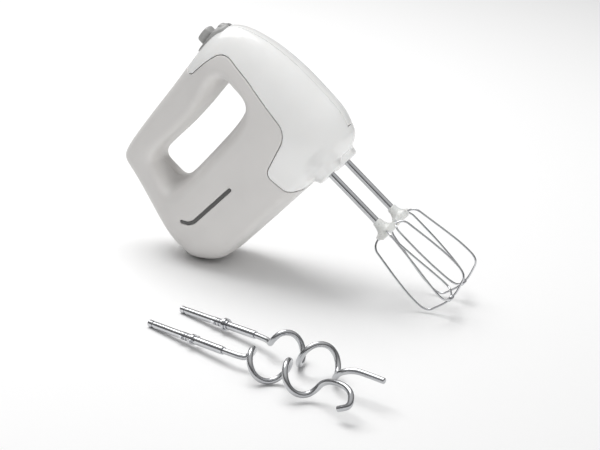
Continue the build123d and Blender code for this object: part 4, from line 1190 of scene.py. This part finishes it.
@dataclass
class Studio:
    """Pale floor, soft light and the camera."""

    lens: float = 95.39
    distance: float = 1400.0
    target: tuple[float, float, float] = (-65.478, 0.0, -11.013)
    right: tuple[float, float, float] = (0.63476, 0.34402, -0.69191)
    up: tuple[float, float, float] = (0.63009, 0.28789, 0.72118)
    back: tuple[float, float, float] = (0.4473, -0.89374, -0.03402)
    sensor: float = 36.0
    clip_start: float = 0.05
    floor_reach: float = 6.0
    floor_colour: str = "FCFCFC"
    sky_strength: float = 0.76
    sky_steps: tuple[tuple[float, float], ...] = ((0.0, 0.10), (0.35, 0.20), (0.8, 0.9))

    def camera(self, stance: Stance) -> None:
        """Set the camera up.

        Args:
            stance: Where the mixer stands.
        """
        data = bpy.data.cameras.new("studio_camera")
        data.lens = self.lens
        data.sensor_width = self.sensor
        data.sensor_fit = "HORIZONTAL"
        data.clip_start = self.clip_start
        camera = bpy.data.objects.new("studio_camera", data)
        bpy.context.scene.collection.objects.link(camera)
        axes = [stance.direction(*axis) for axis in (self.right, self.up, self.back)]
        turn = Matrix(axes).transposed()
        eye = stance.point(*self.target) + axes[2] * self.distance * MM
        camera.matrix_world = Matrix.Translation(eye) @ turn.to_4x4()
        bpy.context.scene.camera = camera

    def floor(self) -> bpy.types.Object:
        """Lay a pale matte floor.

        Returns:
            The floor.
        """
        mesh = bpy.data.meshes.new("studio_floor")
        reach = self.floor_reach
        corners = [(-reach, -reach, 0), (reach, -reach, 0), (reach, reach, 0), (-reach, reach, 0)]
        mesh.from_pydata(corners, [], [(0, 1, 2, 3)])
        floor = bpy.data.objects.new("studio_floor", mesh)
        bpy.context.scene.collection.objects.link(floor)
        material = bpy.data.materials.new("paper_pale")
        material.use_nodes = True
        shader = material.node_tree.nodes["Principled BSDF"]
        shader.inputs["Base Color"].default_value = linear(self.floor_colour)
        shader.inputs["Roughness"].default_value = 0.7
        shader.inputs["Specular IOR Level"].default_value = 0.15
        mesh.materials.append(material)
        return floor

    def world(self) -> None:
        """Surround the mixer with even pale light, dimmer near the horizon."""
        world = bpy.data.worlds.new("studio_world")
        bpy.context.scene.world = world
        world.use_nodes = True
        tree = world.node_tree
        tree.nodes.clear()
        place = add_node(tree, "ShaderNodeTexCoord").outputs["Generated"]
        split = add_node(tree, "ShaderNodeSeparateXYZ", links={"Vector": place})
        ramp = add_node(tree, "ShaderNodeValToRGB", links={"Fac": split.outputs["Z"]})
        low, middle, high = self.sky_steps
        steps = ramp.color_ramp.elements
        steps[1].position = high[0]
        steps.new(middle[0])
        for step, (_, level) in zip(steps, (low, middle, high)):
            step.color = (level, level, level, 1)
        light = add_node(tree, "ShaderNodeBackground", values={"Strength": self.sky_strength},
                         links={"Color": ramp.outputs["Color"]})
        add_node(tree, "ShaderNodeOutputWorld", links={"Surface": light.outputs["Background"]})

    def lamp(self, name: str, place: tuple[float, float, float], aim: tuple[float, float, float],
             size: float, power: float) -> bpy.types.Object:
        """Hang one square soft light.

        Args:
            name: Name of the light.
            place: Where it hangs, in row metres.
            aim: Point it faces.
            size: Side of the square, in metres.
            power: Power in watts.

        Returns:
            The light.
        """
        data = bpy.data.lights.new(name, "AREA")
        data.shape = "SQUARE"
        data.size = size
        data.energy = power
        lamp = bpy.data.objects.new(name, data)
        bpy.context.scene.collection.objects.link(lamp)
        way = Vector(aim) - Vector(place)
        lamp.matrix_world = Matrix.Translation(place) @ way.to_track_quat("-Z", "Y").to_matrix().to_4x4()
        return lamp

    @staticmethod
    def spare(lamp: bpy.types.Object, floor: bpy.types.Object) -> None:
        """Keep a light off the floor, as a flag in front of it would.

        Args:
            lamp: The light.
            floor: What it no longer lights.
        """
        flagged = bpy.data.collections.new(f"{lamp.name}_flagged")
        flagged.objects.link(floor)
        lamp.light_linking.receiver_collection = flagged
        flagged.collection_objects[0].light_linking.link_state = "EXCLUDE"

    def build(self, stance: Stance) -> None:
        """Build the whole studio.

        Args:
            stance: Where the mixer stands.
        """
        self.camera(stance)
        floor = self.floor()
        self.world()
        self.lamp("overhead_light", (-0.75, 0.5, 1.7), (0.0, 0.0, 0.05), 1.4, 27.0)
        front = self.lamp("front_light", (1.75, -1.3, 0.45), (0.0, 0.0, 0.1), 0.9, 19.0)
        front.visible_glossy = False
        self.spare(front, floor)
        bpy.context.scene.view_settings.view_transform = "Standard"


WHISK_TURN = {"right": 26.6, "left": 80.6}       # turn of a whisk's loops, in degrees
HOOK_TURN = {"flanged": -126.0, "eared": -61.0}   # turn of a helix about its shank, in degrees
# tail bends of a hook: distance past the helix, distance off the axis, further turn
HOOK_TAIL = {
    "flanged": ((8.0, 10.0, 48), (18.4, 5.7, 79), (33.4, 3.6, 76), (45.5, 2.4, 67)),
    "eared": ((7.8, 10.9, 72), (34.8, 8.7, 90), (42.7, 5.4, 322), (32.2, 10.6, 309)),
}


def main() -> None:
    """Build every piece in order."""
    logging.basicConfig(level=logging.INFO, format="%(name)s %(message)s")
    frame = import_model()
    stance = Stance.from_frame(frame)
    paint = Paintbox()
    Studio().build(stance)
    paint.dress_frame(frame)
    Housing().build(stance, paint)
    Controls().build(stance, paint)
    for name, side in (("right", -1), ("left", 1)):
        Whisk(name, side, WHISK_TURN[name]).build(stance, paint)
    for name, hand in (("flanged", -1), ("eared", 1)):
        DoughHook(name, hand, HOOK_TURN[name], HOOK_TAIL[name]).build(frame, paint)


if __name__ == "__main__":
    main()
